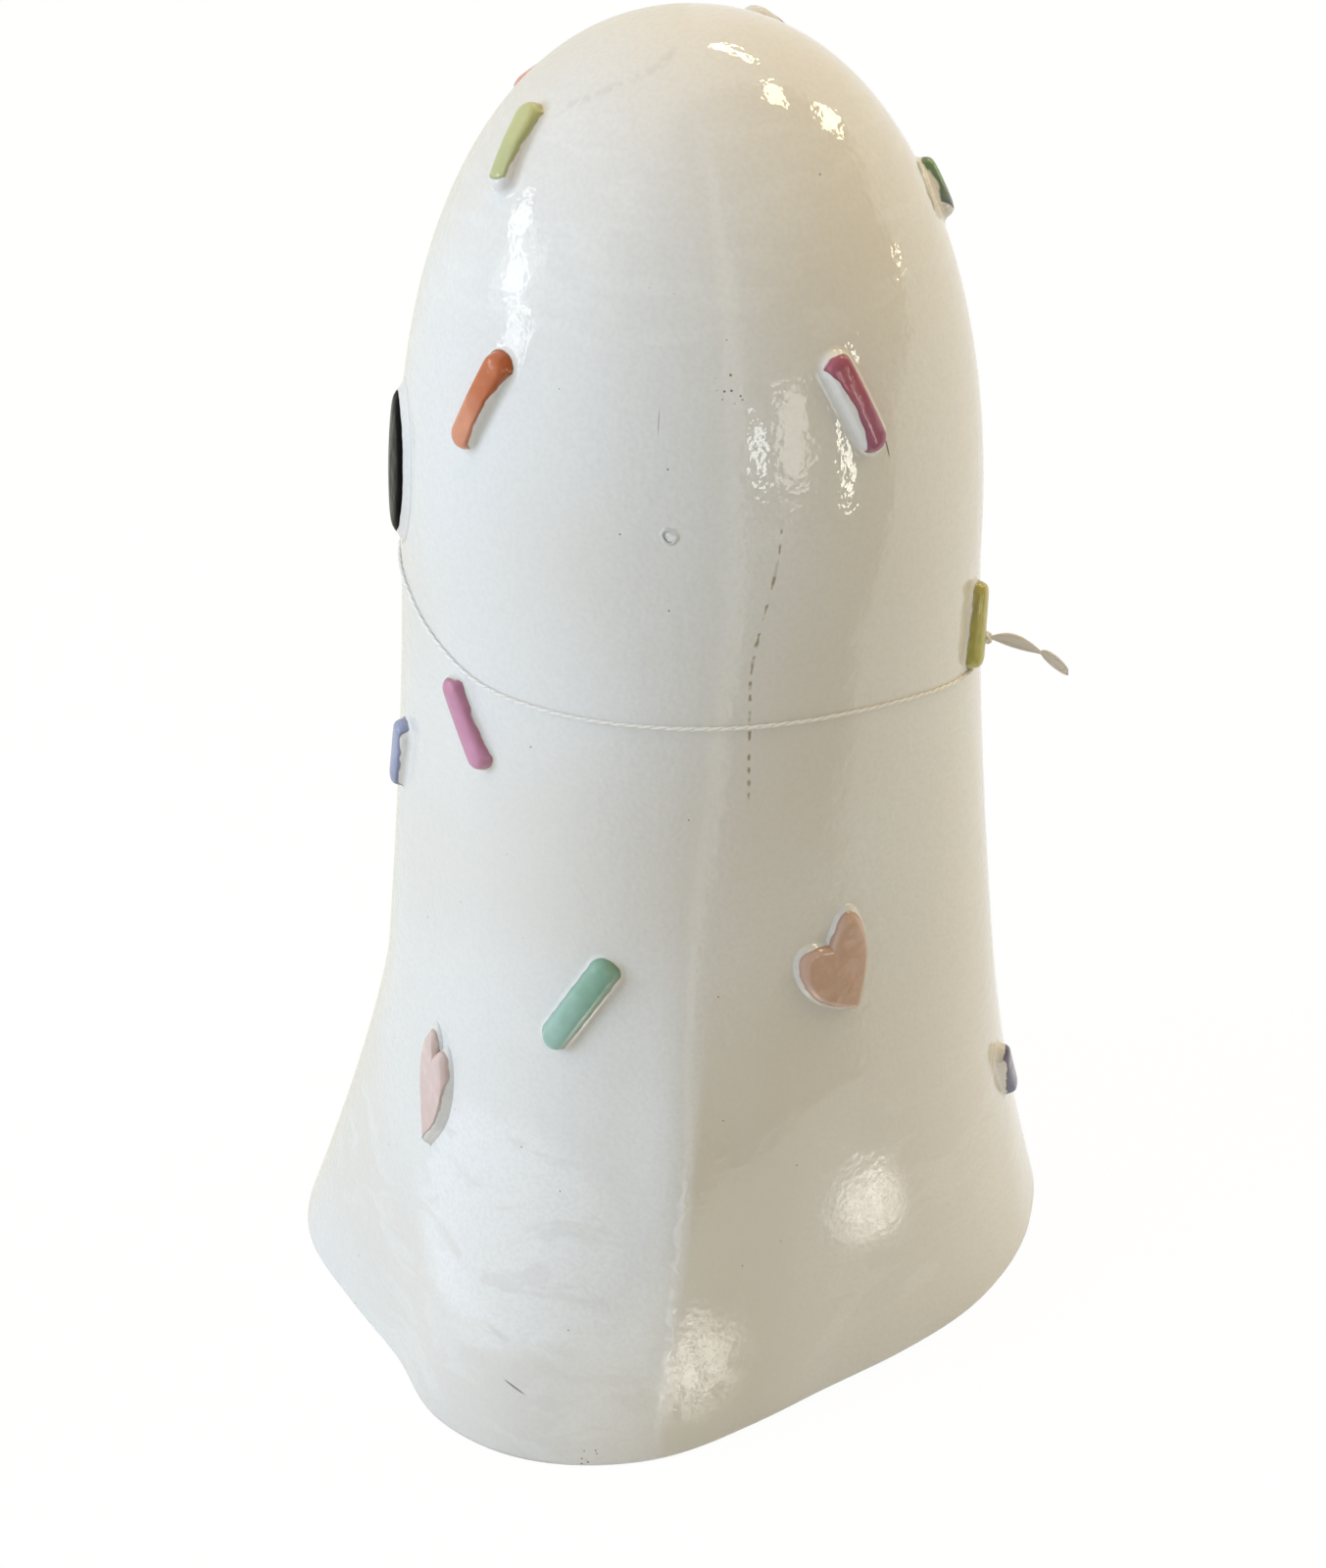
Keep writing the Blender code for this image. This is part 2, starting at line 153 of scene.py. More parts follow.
def grid_piece(name, points, material, ring=False, **values):
    """A piece over a grid of points, closed round its columns, and round its rows too if it
    is a ring. Extra arrays, one number or colour for each point, become attributes."""
    rows, columns = points.shape[:2]
    index = np.arange(rows * columns).reshape(rows, columns)
    index = np.concatenate([index, index[:, :1]], 1)
    if ring:
        index = np.concatenate([index, index[:1]], 0)
    faces = grid_faces(index)
    flat = points.reshape(-1, 3)
    middle = flat - flat.mean(0)
    a, b, c, d = (middle[faces[:, k]] for k in range(4))
    if np.sum(np.cross(b - a, d - a) * a) + np.sum(np.cross(d - c, b - c) * c) < 0:
        faces = faces[:, ::-1]
    mesh = bpy.data.meshes.new(name)
    mesh.from_pydata(flat, [], faces)
    for key, value in values.items():
        kind, field = ("FLOAT_COLOR", "color") if value.ndim > 2 else ("FLOAT", "value")
        attribute = mesh.attributes.new(key, kind, "POINT")
        attribute.data.foreach_set(field, value.astype(np.float32).ravel())
    return as_piece(name, mesh, material)


def as_piece(name, mesh, material):
    """Welds the mesh, shades it smooth, and lets it ride on the figurine."""
    shape = bmesh.new()
    shape.from_mesh(mesh)
    bmesh.ops.remove_doubles(shape, verts=shape.verts, dist=WELD)
    shape.to_mesh(mesh)
    shape.free()
    mesh.materials.append(material)
    mesh.shade_smooth()
    piece = bpy.data.objects.new(name, mesh)
    bpy.context.scene.collection.objects.link(piece)
    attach(piece, "root")
    print(f"{name}: {len(mesh.polygons)} faces")
    return piece


# %% [markdown]
# Finishes are node trees. Written node by node they are hard to read, so one small class
# stands for a wire coming out of a node: adding or multiplying two of them adds a Math node,
# and one method makes any other node.

# %% Shader wires that add up
class Wire:
    """One output of a shader node, with the tree it belongs to."""

    def __init__(self, tree, socket=None):
        self.tree, self.socket = tree, socket

    def node(self, kind, settings=None, values=None, output=0):
        """A new node: its settings first, then the values or wires of its inputs."""
        made = self.tree.nodes.new(kind)
        for key, value in (settings or {}).items():
            setattr(made, key, value)
        for key, value in (values or {}).items():
            if isinstance(value, Wire):
                self.tree.links.new(value.socket, made.inputs[key])
            else:
                made.inputs[key].default_value = value
        return Wire(self.tree, made.outputs[output])

    def other(self, name):
        """Another output of the node that this wire comes from."""
        return Wire(self.tree, self.socket.node.outputs[name])

    def math(self, operation, *values):
        """A Math node on these values."""
        return self.node("ShaderNodeMath", {"operation": operation}, dict(enumerate(values)))

    def __add__(self, other):
        return self.math("ADD", self, other)

    def __sub__(self, other):
        return self.math("SUBTRACT", self, other)

    def __rsub__(self, other):
        return self.math("SUBTRACT", other, self)

    def __mul__(self, other):
        return self.math("MULTIPLY", self, other)

    def __truediv__(self, other):
        return self.math("DIVIDE", self, other)

    def __pow__(self, other):
        return self.math("POWER", self, other)

    __radd__, __rmul__ = __add__, __mul__

    def fade(self, start, end):
        """0 at the start value and 1 at the end value, smoothly between."""
        values = {"Value": self, "From Min": start, "From Max": end}
        return self.node("ShaderNodeMapRange", {"interpolation_type": "SMOOTHSTEP"}, values)

    def attribute(self, name, output=2):
        """What the piece carries for each point: output 2 is a number, output 0 a colour."""
        return self.node("ShaderNodeAttribute", {"attribute_name": name}, output=output)

    def vector(self, operation, *values, output=0):
        """A Vector Math node on these values. Output 1 is its number, such as a distance."""
        settings = {"operation": operation}
        return self.node("ShaderNodeVectorMath", settings, dict(enumerate(values)), output)

    def part(self, axis):
        """The x, y or z of a vector wire."""
        return self.node("ShaderNodeSeparateXYZ", None, {0: self}, "XYZ".index(axis))

    def tint(self, first, second):
        """The first colour where this wire is 0, the second where it is 1."""
        values = {0: self, 6: first, 7: second}
        settings = {"data_type": "RGBA", "blend_type": "MIX"}
        return self.node("ShaderNodeMix", settings, values, 2)

    def noise(self, scale, detail=2.0, roughness=0.5, **more):
        """Soft random values from 0 to 1, with this many grains to the metre."""
        values = {"Vector": self, "Scale": scale, "Detail": detail, "Roughness": roughness, **more}
        return self.node("ShaderNodeTexNoise", None, values)

    def dots(self, scale, radius, share):
        """1 inside small round dots, one in some of the cells of a grid, with soft edges."""
        away = self.node("ShaderNodeTexVoronoi", None, {"Vector": self, "Scale": scale})
        pick = away.other("Color").part("X")
        return away.fade(radius, 0.6 * radius) * pick.fade(1 - share, 1 - share + 0.01)

    def stretched(self, x, y, z):
        """The same place with each axis scaled, so that a pattern draws out along the others."""
        return self.vector("MULTIPLY", self, (x, y, z))

    def near(self, point, reach, blur=0.5):
        """1 within a reach of a point, fading out over a share of the reach."""
        away = self.vector("DISTANCE", self, tuple(point), output=1)
        return away.fade(reach * (1 + blur), reach)


def new_finish(name, **constants):
    """A material whose shader has these constants, with wires for its places and its shader."""
    material = bpy.data.materials.new(name)
    material.use_nodes = True
    tree = material.node_tree
    shader = tree.nodes["Principled BSDF"]
    for key, value in constants.items():
        shader.inputs[key.replace("_", " ")].default_value = value
    place = Wire(tree).node("ShaderNodeTexCoord", output=3)
    return material, place, shader


def connect(shader, **wires):
    """Plugs each wire into the shader's socket of that name."""
    for key, wire in wires.items():
        wire.tree.links.new(wire.socket, shader.inputs[key.replace("_", " ")])


def relief(height):
    """A normal from a height in millimetres."""
    values = {"Strength": 1.0, "Distance": 0.001, "Height": height}
    return height.node("ShaderNodeBump", None, values)


print("a wire has these helpers:", [name for name in vars(Wire) if not name.startswith("_")])

# %% [markdown]
# The white enamel is sprayed and then touched up with a brush. On the real figurine it shows
# an orange-peel ripple in every reflection, faint brushed patches on the skirt, dust specks,
# a few pinholes, one small chip on the side, and a broken line where the mould's halves met.
# A painted picture could hold these, but it would blur close to, so each one is a formula on
# the place in the figurine's own space.

# %% Flaws of the casting
CHIP = skin_frame(101.1, 0.1760)[0]
PINHOLES = skin_frame(113.6, 0.1983)[0]
RIM_PITS = skin_frame(88.1, 0.0025)[0]
# Thin marks: bearing, height, lean from upright in degrees, half length and half width in metres
NICK = (98.9, 0.1931, 2, 0.0024, 0.00016)
HAIR = (145.0, 0.1850, -10, 0.0022, 0.00018)
SCRATCH = (76.7, 0.0146, 114, 0.0030, 0.00026)
PATCH = skin_frame(71, 0.0430)[0]
# The mould's seam: its bearing at the foot, its swing in degrees higher up, and its two ends
SEAM_BEARING, SEAM_SWING, SEAM_FOOT, SEAM_TOP = 115.9, 5.8, 0.129, 0.178
# The worn arc on the crown: its two bearings and its two heights
SCUFF_FROM, SCUFF_TO, SCUFF_LOW, SCUFF_HIGH = 52, 96, 0.2295, 0.2383
# The crest's line, a painted highlight: its bearing at the foot, how far it leans per metre, and its
# two ends
CREST_BEARING, CREST_LEAN, CREST_FOOT, CREST_TOP = 98.7, 92, 0.014, 0.072
print("chip and pinholes in mm:", [[round(1000 * x) for x in spot] for spot in (CHIP, PINHOLES)])


def bearing_of(place):
    """Degrees round the axis, growing towards the ghost's left, from 0 to 360."""
    x, y = place.part("X") - AXIS_X, place.part("Y") - AXIS_Y
    turn = place.math("ARCTAN2", x * -1, y) * (180 / math.pi)
    return turn + 180


def thin_mark(place, bearing, height, lean, long, thin):
    """1 on a thin mark: the distance from its middle, with the part along it shrunk by its
    width over its length, is under its width."""
    point, right, up, _ = skin_frame(bearing, height)
    line = right * math.sin(math.radians(lean)) + up * math.cos(math.radians(lean))
    off = place.vector("SUBTRACT", place, tuple(point))
    along = off.vector("DOT_PRODUCT", off, tuple(line * (1 - thin / long)), output=1)
    along = off.node("ShaderNodeCombineXYZ", None, {k: along * line[k] for k in range(3)})
    away = off.vector("SUBTRACT", off, along)
    return away.vector("LENGTH", away, output=1).fade(thin, 0.5 * thin)


def scuff_mask(place):
    """A worn arc on the crown: its height is a power of the share of the way round."""
    bearing = bearing_of(place)
    share = (bearing - SCUFF_FROM) / (SCUFF_TO - SCUFF_FROM)
    line = share ** 0.75 * (SCUFF_HIGH - SCUFF_LOW) + SCUFF_LOW
    away = place.math("ABSOLUTE", place.part("Z") - line + (place.noise(220, 0.0) - 0.5) * 0.0010)
    ends = share.fade(0.0, 0.08) * share.fade(1.0, 0.9)
    return away.fade(0.00120, 0.00020) * ends * place.noise(420, 1.0, 0.7).fade(0.42, 0.60)


def crest_masks(place):
    """The crest's ridge, a wavering line that leans with the height, as a painted highlight, and the
    hollow on its right as painted shade. Both fade out above the skirt."""
    height = place.part("Z")
    past = bearing_of(place) - (height * CREST_LEAN + CREST_BEARING)
    waver = place.noise(230, 1.0, 0.7) - 0.5
    ridge = place.math("ABSOLUTE", past + waver * 3.0).fade(0.9, 0.1) * waver.fade(-0.12, 0.02)
    ridge = ridge * height.fade(CREST_TOP, 0.75 * CREST_TOP) * height.fade(0.2 * CREST_FOOT, CREST_FOOT)
    return ridge, past.fade(0, 2) * past.fade(34, 14) * height.fade(0.110, 0.055)


def seam_mask(place):
    """A broken line up the side: narrow in bearing, within its heights, cut up by noise."""
    height = place.part("Z")
    climb = height.fade(0.150, SEAM_TOP)
    away = place.math("ABSOLUTE", bearing_of(place) - (climb * SEAM_SWING + SEAM_BEARING))
    away = place.math("ABSOLUTE", away + (place.noise(700, 0.0) - 0.5) * 0.6)
    along = place.stretched(0, 0, 1)
    dashes = along.noise(420, 1.0, 0.6).fade(0.46, 0.56)
    ends = height.fade(SEAM_FOOT, SEAM_FOOT + 0.002) * height.fade(SEAM_TOP, SEAM_TOP - 0.002)
    return away.fade(0.36, 0.10) * dashes * ends


# %% Colours of the enamel and its flaws
WHITE = (0.800, 0.800, 0.775, 1)
CREAM = (0.775, 0.755, 0.705, 1)
# Lighter white of the brush touch-ups, also used as the painted highlight along the crest
TOUCH_UP_AND_HIGHLIGHT = (0.885, 0.895, 0.880, 1)
MOTTLE = (0.700, 0.695, 0.665, 1)
GRIME = (0.085, 0.070, 0.055, 1)
SEAM_BROWN = (0.260, 0.190, 0.060, 1)
# Painted shade for the hollow beside the crest
HOLLOW_SHADE = (0.715, 0.685, 0.600, 1)
print("red, green and blue of the white:", WHITE[:3])

# %% Brush marks, dirt and the chip
# Ripples in the gloss: grains to the metre, detail, height in millimetres
RIPPLES = ((390, 1.0, 0.070), (900, 1.0, 0.046), (60, 0.0, 0.060))
RING_HEIGHT, NICK_DEPTH, CHIP_RIM, RIDGE_HEIGHT, CHIP_DEPTH = 0.045, 0.05, 0.16, 0.07, 0.10
DARKEST = 0.85


def brush_marks(place):
    """Brushed patches, near their spot and here and there low down, and rings on the crown."""
    brushed = place.stretched(0.45, 0.45, 1).noise(125, 3.0, 0.6, Distortion=0.7)
    low = place.part("Z").fade(0.110, 0.050)
    patches = brushed.fade(0.38, 0.46) * place.near(PATCH, 0.019, 0.4)
    patches = patches + brushed.fade(0.50, 0.58) * low * place.noise(28, 0.0).fade(0.52, 0.62) * 0.4
    crown = place.part("Z").fade(0.186, 0.205) * place.part("Z").fade(0.238, 0.230)
    return patches, place.stretched(0.22, 0.22, 1).noise(420, 1.0, 0.6) * crown


def dirt_and_chip(place):
    """How dark holes, specks, thin marks and wear are, the nick, the chip's rim and its floor."""
    holes = place.dots(1100, 0.26, 0.80)
    holes = holes * (place.near(PINHOLES, 0.0022) + place.near(RIM_PITS, 0.0022))
    nick, hair, scratch = (thin_mark(place, *mark) for mark in (NICK, HAIR, SCRATCH))
    specks = place.dots(420, 0.078, 0.055)
    chip_far = place.vector("DISTANCE", place, tuple(CHIP), output=1)
    chip_far = chip_far + (place.noise(800, 0.0) - 0.5) * 0.0009
    ring = chip_far.fade(0.0005, 0.0009) * chip_far.fade(0.0016, 0.0010)
    dark = holes + specks + nick * 0.3 + hair * 0.9 + scratch * 0.75 + scuff_mask(place) * 0.09
    dark = dark + ring * 0.16
    return dark.math("MINIMUM", dark, DARKEST), nick, ring, chip_far.fade(0.0009, 0.0005)


# %% White enamel
def enamel(place):
    """Colour, roughness and height in millimetres of the white enamel at a place."""
    patches, rings = brush_marks(place)
    colour = place.noise(22, 0.0).fade(0.40, 0.70).tint(WHITE, CREAM)
    colour = (patches * 0.60 + rings.fade(0.50, 0.64) * 0.20).tint(colour, TOUCH_UP_AND_HIGHLIGHT)
    colour = (place.noise(1300, 0.0).fade(0.35, 0.70) * 0.22).tint(colour, MOTTLE)
    # A painted highlight along the crest's ridge, and painted shade in the hollow on its right
    ridge, hollow = crest_masks(place)
    colour = (ridge * 0.8).tint((hollow * 0.8).tint(colour, HOLLOW_SHADE), TOUCH_UP_AND_HIGHLIGHT)
    colour = (seam_mask(place) * 0.72).tint(colour, SEAM_BROWN)
    dark, nick, ring, chip_floor = dirt_and_chip(place)
    colour = dark.tint(colour, GRIME)
    height = rings * RING_HEIGHT - nick * NICK_DEPTH + ring * CHIP_RIM + ridge * RIDGE_HEIGHT
    for grains, detail, tall in RIPPLES:
        height = height + place.noise(grains, detail) * tall
    height = height - chip_floor * (place.noise(1500, 0.0) * 0.25 + CHIP_DEPTH)
    roughness = place.noise(48, 0.0) * 0.06 + 0.01 + patches * 0.05 + dark * 0.3
    return colour, roughness, height


white_enamel, place, shader = new_finish("white_enamel", Specular_IOR_Level=0.5)
colour, roughness, height = enamel(place)
connect(shader, Base_Color=colour, Roughness=roughness, Normal=relief(height))
print("nodes in the white enamel:", len(white_enamel.node_tree.nodes))

# %% [markdown]
# Inside, the clay is bare apart from overspray near the rim. It is a matt cream with the
# grain of plaster and the tide lines that slip leaves when it is poured out of the mould.

# %% Bare clay
bare_clay, place, shader = new_finish("bare_clay", Specular_IOR_Level=0.25)
grain = place.noise(700, 4.0, 0.6)
tide = place.stretched(0.25, 0.25, 1).noise(60, 3.0)
WET_CLAY, DRY_CLAY = (0.60, 0.55, 0.46, 1), (0.70, 0.66, 0.57, 1)
clay = tide.fade(0.35, 0.7).tint(WET_CLAY, DRY_CLAY)
spray = (place.part("Z") + place.noise(90, 3.0) * 0.02).fade(0.030, 0.012)
clay = spray.tint(clay, WHITE)
clay_relief = relief(grain * 0.05 + tide * 0.1)
connect(shader, Base_Color=clay, Roughness=0.82 - spray * 0.45, Normal=clay_relief)
print("nodes in the bare clay:", len(bare_clay.node_tree.nodes))

# %% [markdown]
# The skin is one surface that starts at the top of the cavity, runs down the inside, crosses
# the flat rim, turns the rounded hem and climbs to the crown. Going round the axis is the
# other parameter. This gives a real wall with no join to hide. The faces inside take the clay.

# %% The skin
COLUMNS, INSIDE_ROWS, SKIRT_ROWS, DOME_ROWS, HEM_ROWS = 300, 56, 132, 74, 6


def skin_heights(inset, skirt_rows, dome_rows):
    """Heights from the rim to the crown: even on the skirt, the sine of an even lean above."""
    lean = np.linspace(0, math.pi / 2, dome_rows + 1)[1:]
    above = SHOULDER_HEIGHT + (HEIGHT - inset - SHOULDER_HEIGHT) * np.sin(lean)
    return np.concatenate([np.linspace(0, SHOULDER_HEIGHT, skirt_rows + 1), above])


around = np.arange(COLUMNS) * 360 / COLUMNS
inside = skin_heights(WALL, INSIDE_ROWS // 2, INSIDE_ROWS // 2)[::-1, None]
quarter = np.linspace(0, math.pi / 2, HEM_ROWS + 1)[:, None]
turned = HEM_ROUNDING * (1 - np.cos(quarter))
outside = skin_heights(0.0, SKIRT_ROWS, DOME_ROWS)
outside = outside[outside > HEM_ROUNDING * 1.2][:, None]
rows = [
    at_bearing(body_radius(inside, around, WALL), around, inside),
    at_bearing(body_radius(turned, around) - HEM_ROUNDING * (1 - np.sin(quarter)), around, turned),
    at_bearing(body_radius(outside, around), around, outside),
]
skin = grid_piece("ghost_skin", np.concatenate(rows), white_enamel)
skin.data.materials.append(bare_clay)
faces_inside = np.arange(len(skin.data.polygons)) < COLUMNS * (len(inside) - 1)
skin.data.polygons.foreach_set("material_index", faces_inside.astype(np.int32))
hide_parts("ghost_body")

# %% [markdown]
# The raised shapes are cast with the body, so each foot runs into the skin with no gap. Every
# one is a patch dropped on the skin: rings from its middle out past its outline, lifted by a
# bell that is flat on top, steep at the outline and dies away outside it. Hand paint covers
# the top and stops unevenly, so each patch also carries the distance to the paint's edge.

# %% Patches that lie on the skin
HALVINGS = 30
# How far a patch's outer ring and its floor lie under the skin, and the floor's share of it
SINK, ROOT = 0.00002, 0.0012
INSET_SHARE = 0.98


def drop_on_skin(flat, lift, bearing, height, turn):
    """Flat points turned about a spot, moved straight in until they meet the skin, and then
    lifted. The meeting point is halved down between two depths."""
    point, right, up, out = skin_frame(bearing, height)
    cos, sin = math.cos(math.radians(turn)), math.sin(math.radians(turn))
    across = flat[..., 0] * cos + flat[..., 1] * sin
    along = flat[..., 1] * cos - flat[..., 0] * sin
    start = point + across[..., None] * right + along[..., None] * up
    near, far = np.full(across.shape, -0.02), np.full(across.shape, 0.01)
    for _ in range(HALVINGS):
        middle = (near + far) / 2
        tried = start + middle[..., None] * out
        x, y, z = tried[..., 0] - AXIS_X, tried[..., 1] - AXIS_Y, tried[..., 2]
        radius = body_radius(z, np.degrees(np.arctan2(x, -y)))
        inside = (np.hypot(x, y) < radius) & (z < HEIGHT)
        near, far = np.where(inside, middle, near), np.where(inside, far, middle)
    return start + (near + lift)[..., None] * out


def bell(share, steepness):
    """1 in the middle, one half at the outline (share 1), and next to nothing beyond."""
    return 1 / (1 + share**steepness)


def patch_rings(outer, count):
    """Shares of the outline for a patch's rings, closer together near the outline."""
    even = np.linspace(0, 1, count)
    return outer * (even + 0.12 * np.sin(2 * np.pi * even) * (even - 0.2))


def closed_under(flat, lift):
    """The patch's points and lifts with two more rows: a wall going down into the skin, and a
    floor there that meets the middle."""
    flat = np.concatenate([flat, flat[-1:] * INSET_SHARE, flat[:1]])
    return flat, np.concatenate([lift, np.full((2, lift.shape[1]), -ROOT)])


print("rings of a patch as shares of its outline:", patch_rings(1.12, 6).round(2))

# %% [markdown]
# Each dab of paint is thinner where the brush dragged, darker along its edge with painted shade from
# the film's step, and runs from one mixed colour to another along its shape, which on orange is painted
# shade and on mint a painted reflection. Blending two Principled shaders would do it, but one shader
# with a mask in its colour, roughness and height exports better.

# %% Hand paint
PAINTS = {
    "sage": ((0.50, 0.53, 0.27), (0.55, 0.57, 0.28)),
    # Orange's darker second colour is its first in painted shade, towards the top end
    "orange": ((0.68, 0.29, 0.17), (0.52, 0.15, 0.06)),
    "mauve": ((0.37, 0.13, 0.21), (0.40, 0.12, 0.17)),
    "olive": ((0.50, 0.48, 0.13), (0.52, 0.48, 0.15)),
    "lilac": ((0.58, 0.27, 0.40), (0.56, 0.26, 0.38)),
    "periwinkle": ((0.29, 0.32, 0.47), (0.32, 0.36, 0.52)),
    # Mint's darker second colour is a painted reflection of the room's dim side on its top
    "mint": ((0.33, 0.52, 0.44), (0.25, 0.43, 0.33)),
    "slate": ((0.15, 0.15, 0.27), (0.19, 0.17, 0.27)),
    "leaf": ((0.19, 0.25, 0.24), (0.18, 0.31, 0.15)),
    "coral": ((0.70, 0.38, 0.32), (0.72, 0.42, 0.36)),
    "blush": ((0.57, 0.39, 0.29), (0.60, 0.41, 0.32)),
    "pale_blush": ((0.68, 0.52, 0.48), (0.72, 0.57, 0.53)),
    "eye_black": ((0.004, 0.004, 0.005), (0.006, 0.006, 0.007)),
}
# What thin paint does to its colour, the painted shade at the paint's edge, and how thick it is in
# millimetres
THINNED, EDGE_SHADE, FILM_HEIGHT = (1.35, 1.3, 1.3), (0.55, 0.5, 0.5), 0.10


def hand_paint(name, wobble, gloss, shine=0.5):
    """Enamel with a painted top: the patch carries both ends' colours, how far along it a
    point is, and the distance to the paint's edge in millimetres, negative under the paint."""
    material, place, shader = new_finish(name, Specular_IOR_Level=shine)
    base, base_roughness, base_height = enamel(place)
    first, second = place.attribute("paint_low", 0), place.attribute("paint_high", 0)
    along, edge = place.attribute("along"), place.attribute("paint_edge")
    streaks = place.noise(520, 1.0)
    edge = edge + (place.noise(430, 1.0) - 0.5) * wobble
    cover = edge.fade(0.06, -0.06)
    mixed = (along + (place.noise(240, 1.0) - 0.5) * 1.1).fade(-0.55, 0.55).tint(first, second)
    paler = place.vector("MULTIPLY", mixed, THINNED)
    thin = (streaks.fade(0.45, 0.75) * 0.22).tint(mixed, paler)
    # Painted shade along the paint's edge, where the film steps down to the enamel
    darker = place.vector("MULTIPLY", thin, EDGE_SHADE)
    edge_shaded = (edge.fade(-0.55, -0.05) * 0.35).tint(thin, darker)
    film = edge.fade(0.05, -0.35) * FILM_HEIGHT
    lumps = cover * (streaks * 0.04 + place.noise(330, 0.0) * 0.16)
    connect(
        shader,
        Base_Color=cover.tint(base, edge_shaded),
        Roughness=base_roughness * (1 - cover) + cover * (streaks * 0.08 + gloss),
        Normal=relief(base_height + film + lumps),
    )
    print(f"{name}: {len(material.node_tree.nodes)} nodes")
    return material


sprinkle_paint = hand_paint("sprinkle_paint", 0.45, 0.13)
heart_paint = hand_paint("heart_paint", 0.60, 0.10)
eye_paint = hand_paint("eye_paint", 0.20, 0.16, 0.01)


def painted(name, patches, material):
    """A numbered piece for each patch, which is a grid of points with its values."""
    for number, (grid, values) in enumerate(patches, 1):
        grid_piece(f"{name}_{number}", grid, material, **values)


# %% [markdown]
# A sprinkle's outline is a stadium: every point of it is a fixed distance from a short line,
# so rings at growing distances from that line fill it with even strips. The brush did not
# follow the shape: on most of them it ran down one wall and left the other one white. So each
# sprinkle seen in the photo has its own edges for the paint.

# %% Sprinkles
SPRINKLE_WIDTH, SPRINKLE_RELIEF = 0.0047, 0.0024
SPRINKLES = (
    ("sage", 46, 0.2245, -14, 0.0145), ("orange", 60.5, 0.191, 23, 0.0175),
    ("mauve", 138, 0.193, -22, 0.017), ("olive", 177, 0.1437, 14, 0.0148),
    ("lilac", 58.6, 0.1362, -35, 0.016), ("periwinkle", 29.5, 0.1178, 14, 0.014),
    ("mint", 84.8, 0.0918, 31, 0.0205), ("slate", 188.5, 0.0455, -28, 0.0155),
    ("leaf", 201, 0.2112, 40, 0.0105), ("lilac", 252, 0.2297, 15, 0.017),
    ("coral", 336, 0.2238, -60, 0.010), ("orange", 221, 0.178, -30, 0.018),
    ("sage", 232, 0.108, 25, 0.019), ("mauve", 222, 0.066, -40, 0.018),
    ("periwinkle", 256, 0.202, 20, 0.018), ("mint", 291, 0.178, -25, 0.018),
    ("olive", 266, 0.095, -15, 0.019), ("coral", 322, 0.124, 30, 0.018),
    ("leaf", 328, 0.206, -20, 0.017), ("slate", 294, 0.058, 25, 0.018),
    ("orange", 334, 0.050, -30, 0.018), ("mint", 350, 0.126, 20, 0.017),
    ("lilac", 351, 0.078, 35, 0.018),
)
SPRINKLE_ARC, SPRINKLE_STEEPNESS = 40, 10
# How much of a sprinkle's height is its wall. The rest is its rounded top
WALL_SHARE = 0.62
# Shares of the half width for the rings: close together where the wall stands
SPRINKLE_SHARES = np.concatenate([
    np.linspace(0, 0.80, 9), np.linspace(0.80, 1.20, 17)[1:], np.linspace(1.20, 1.60, 6)[1:],
])[:, None]

# %% How the brush went
# The paint's edge on the left and on the right at the foot, middle and top, in half widths, and
# its distance from the two ends in millimetres. Past 1.15 the paint runs down the wall
BRUSHES = {
    1: ((1.3, 1.3, 1.3), (0.75, 0.95, 1.05), (1.6, 0.2)),
    2: ((1.3, 1.3, 1.3), (1.00, 0.80, 1.20), (0.5, 0.0)),
    3: ((1.10, 0.50, 1.05), (1.3, 1.2, 1.3), (0.4, 0.5)),
    4: ((1.15, 1.10, 1.00), (1.3, 1.3, 1.3), (0.0, 0.2)),
    5: ((1.3, 1.3, 1.3), (1.05, 1.00, 1.05), (0.3, 0.6)),
    6: ((1.3, 1.3, 1.3), (0.85, 0.90, 0.70), (0.1, 0.1)),
    7: ((1.2, 1.2, 1.2), (1.00, 1.05, 1.05), (0.1, 0.1)),
    8: ((1.00, 0.95, 0.65), (1.3, 1.3, 1.3), (0.2, 0.7)),
    9: ((1.05, 0.95, 1.10), (1.3, 1.3, 1.3), (1.0, 0.4)),
    10: ((0.9, 0.9, 0.5), (0.9, 0.8, 0.4), (0.3, 4.5)),
}
BRUSH_REACH = 1.15


def stadium(length):
    """Points of a sprinkle's middle line and the outward directions round its outline."""
    lean = np.linspace(0, np.pi, SPRINKLE_ARC + 1)
    run = np.linspace(-1, 1, SPRINKLE_ARC + 1)[1:-1]
    straight = (length - SPRINKLE_WIDTH) / 2
    upper = [np.zeros(len(lean)), np.full(len(lean), straight), np.cos(lean), np.sin(lean)]
    left = [np.zeros(len(run)), -run * straight, np.full(len(run), -1.0), np.zeros(len(run))]
    half = np.concatenate([upper, left], 1)
    whole = np.concatenate([half, -half], 1)
    return whole[:2].T, whole[2:].T


def through_three(values, share):
    """The parabola through a value at 0, at a half and at 1."""
    low, middle, high = values
    ends = (1 - share) * (1 - 2 * share) * low + share * (2 * share - 1) * high
    return ends + 4 * share * (1 - share) * middle


def any_brush(number):
    """A brush for a sprinkle that isn't seen: edges a little short of the outline."""
    wave = np.sin(number * np.array([1.7, 2.3, 3.1, 4.3, 5.9, 7.7]))
    return 0.95 + 0.25 * wave[:3], 0.95 + 0.25 * wave[3:], 0.3 + 0.3 * wave[1:3]


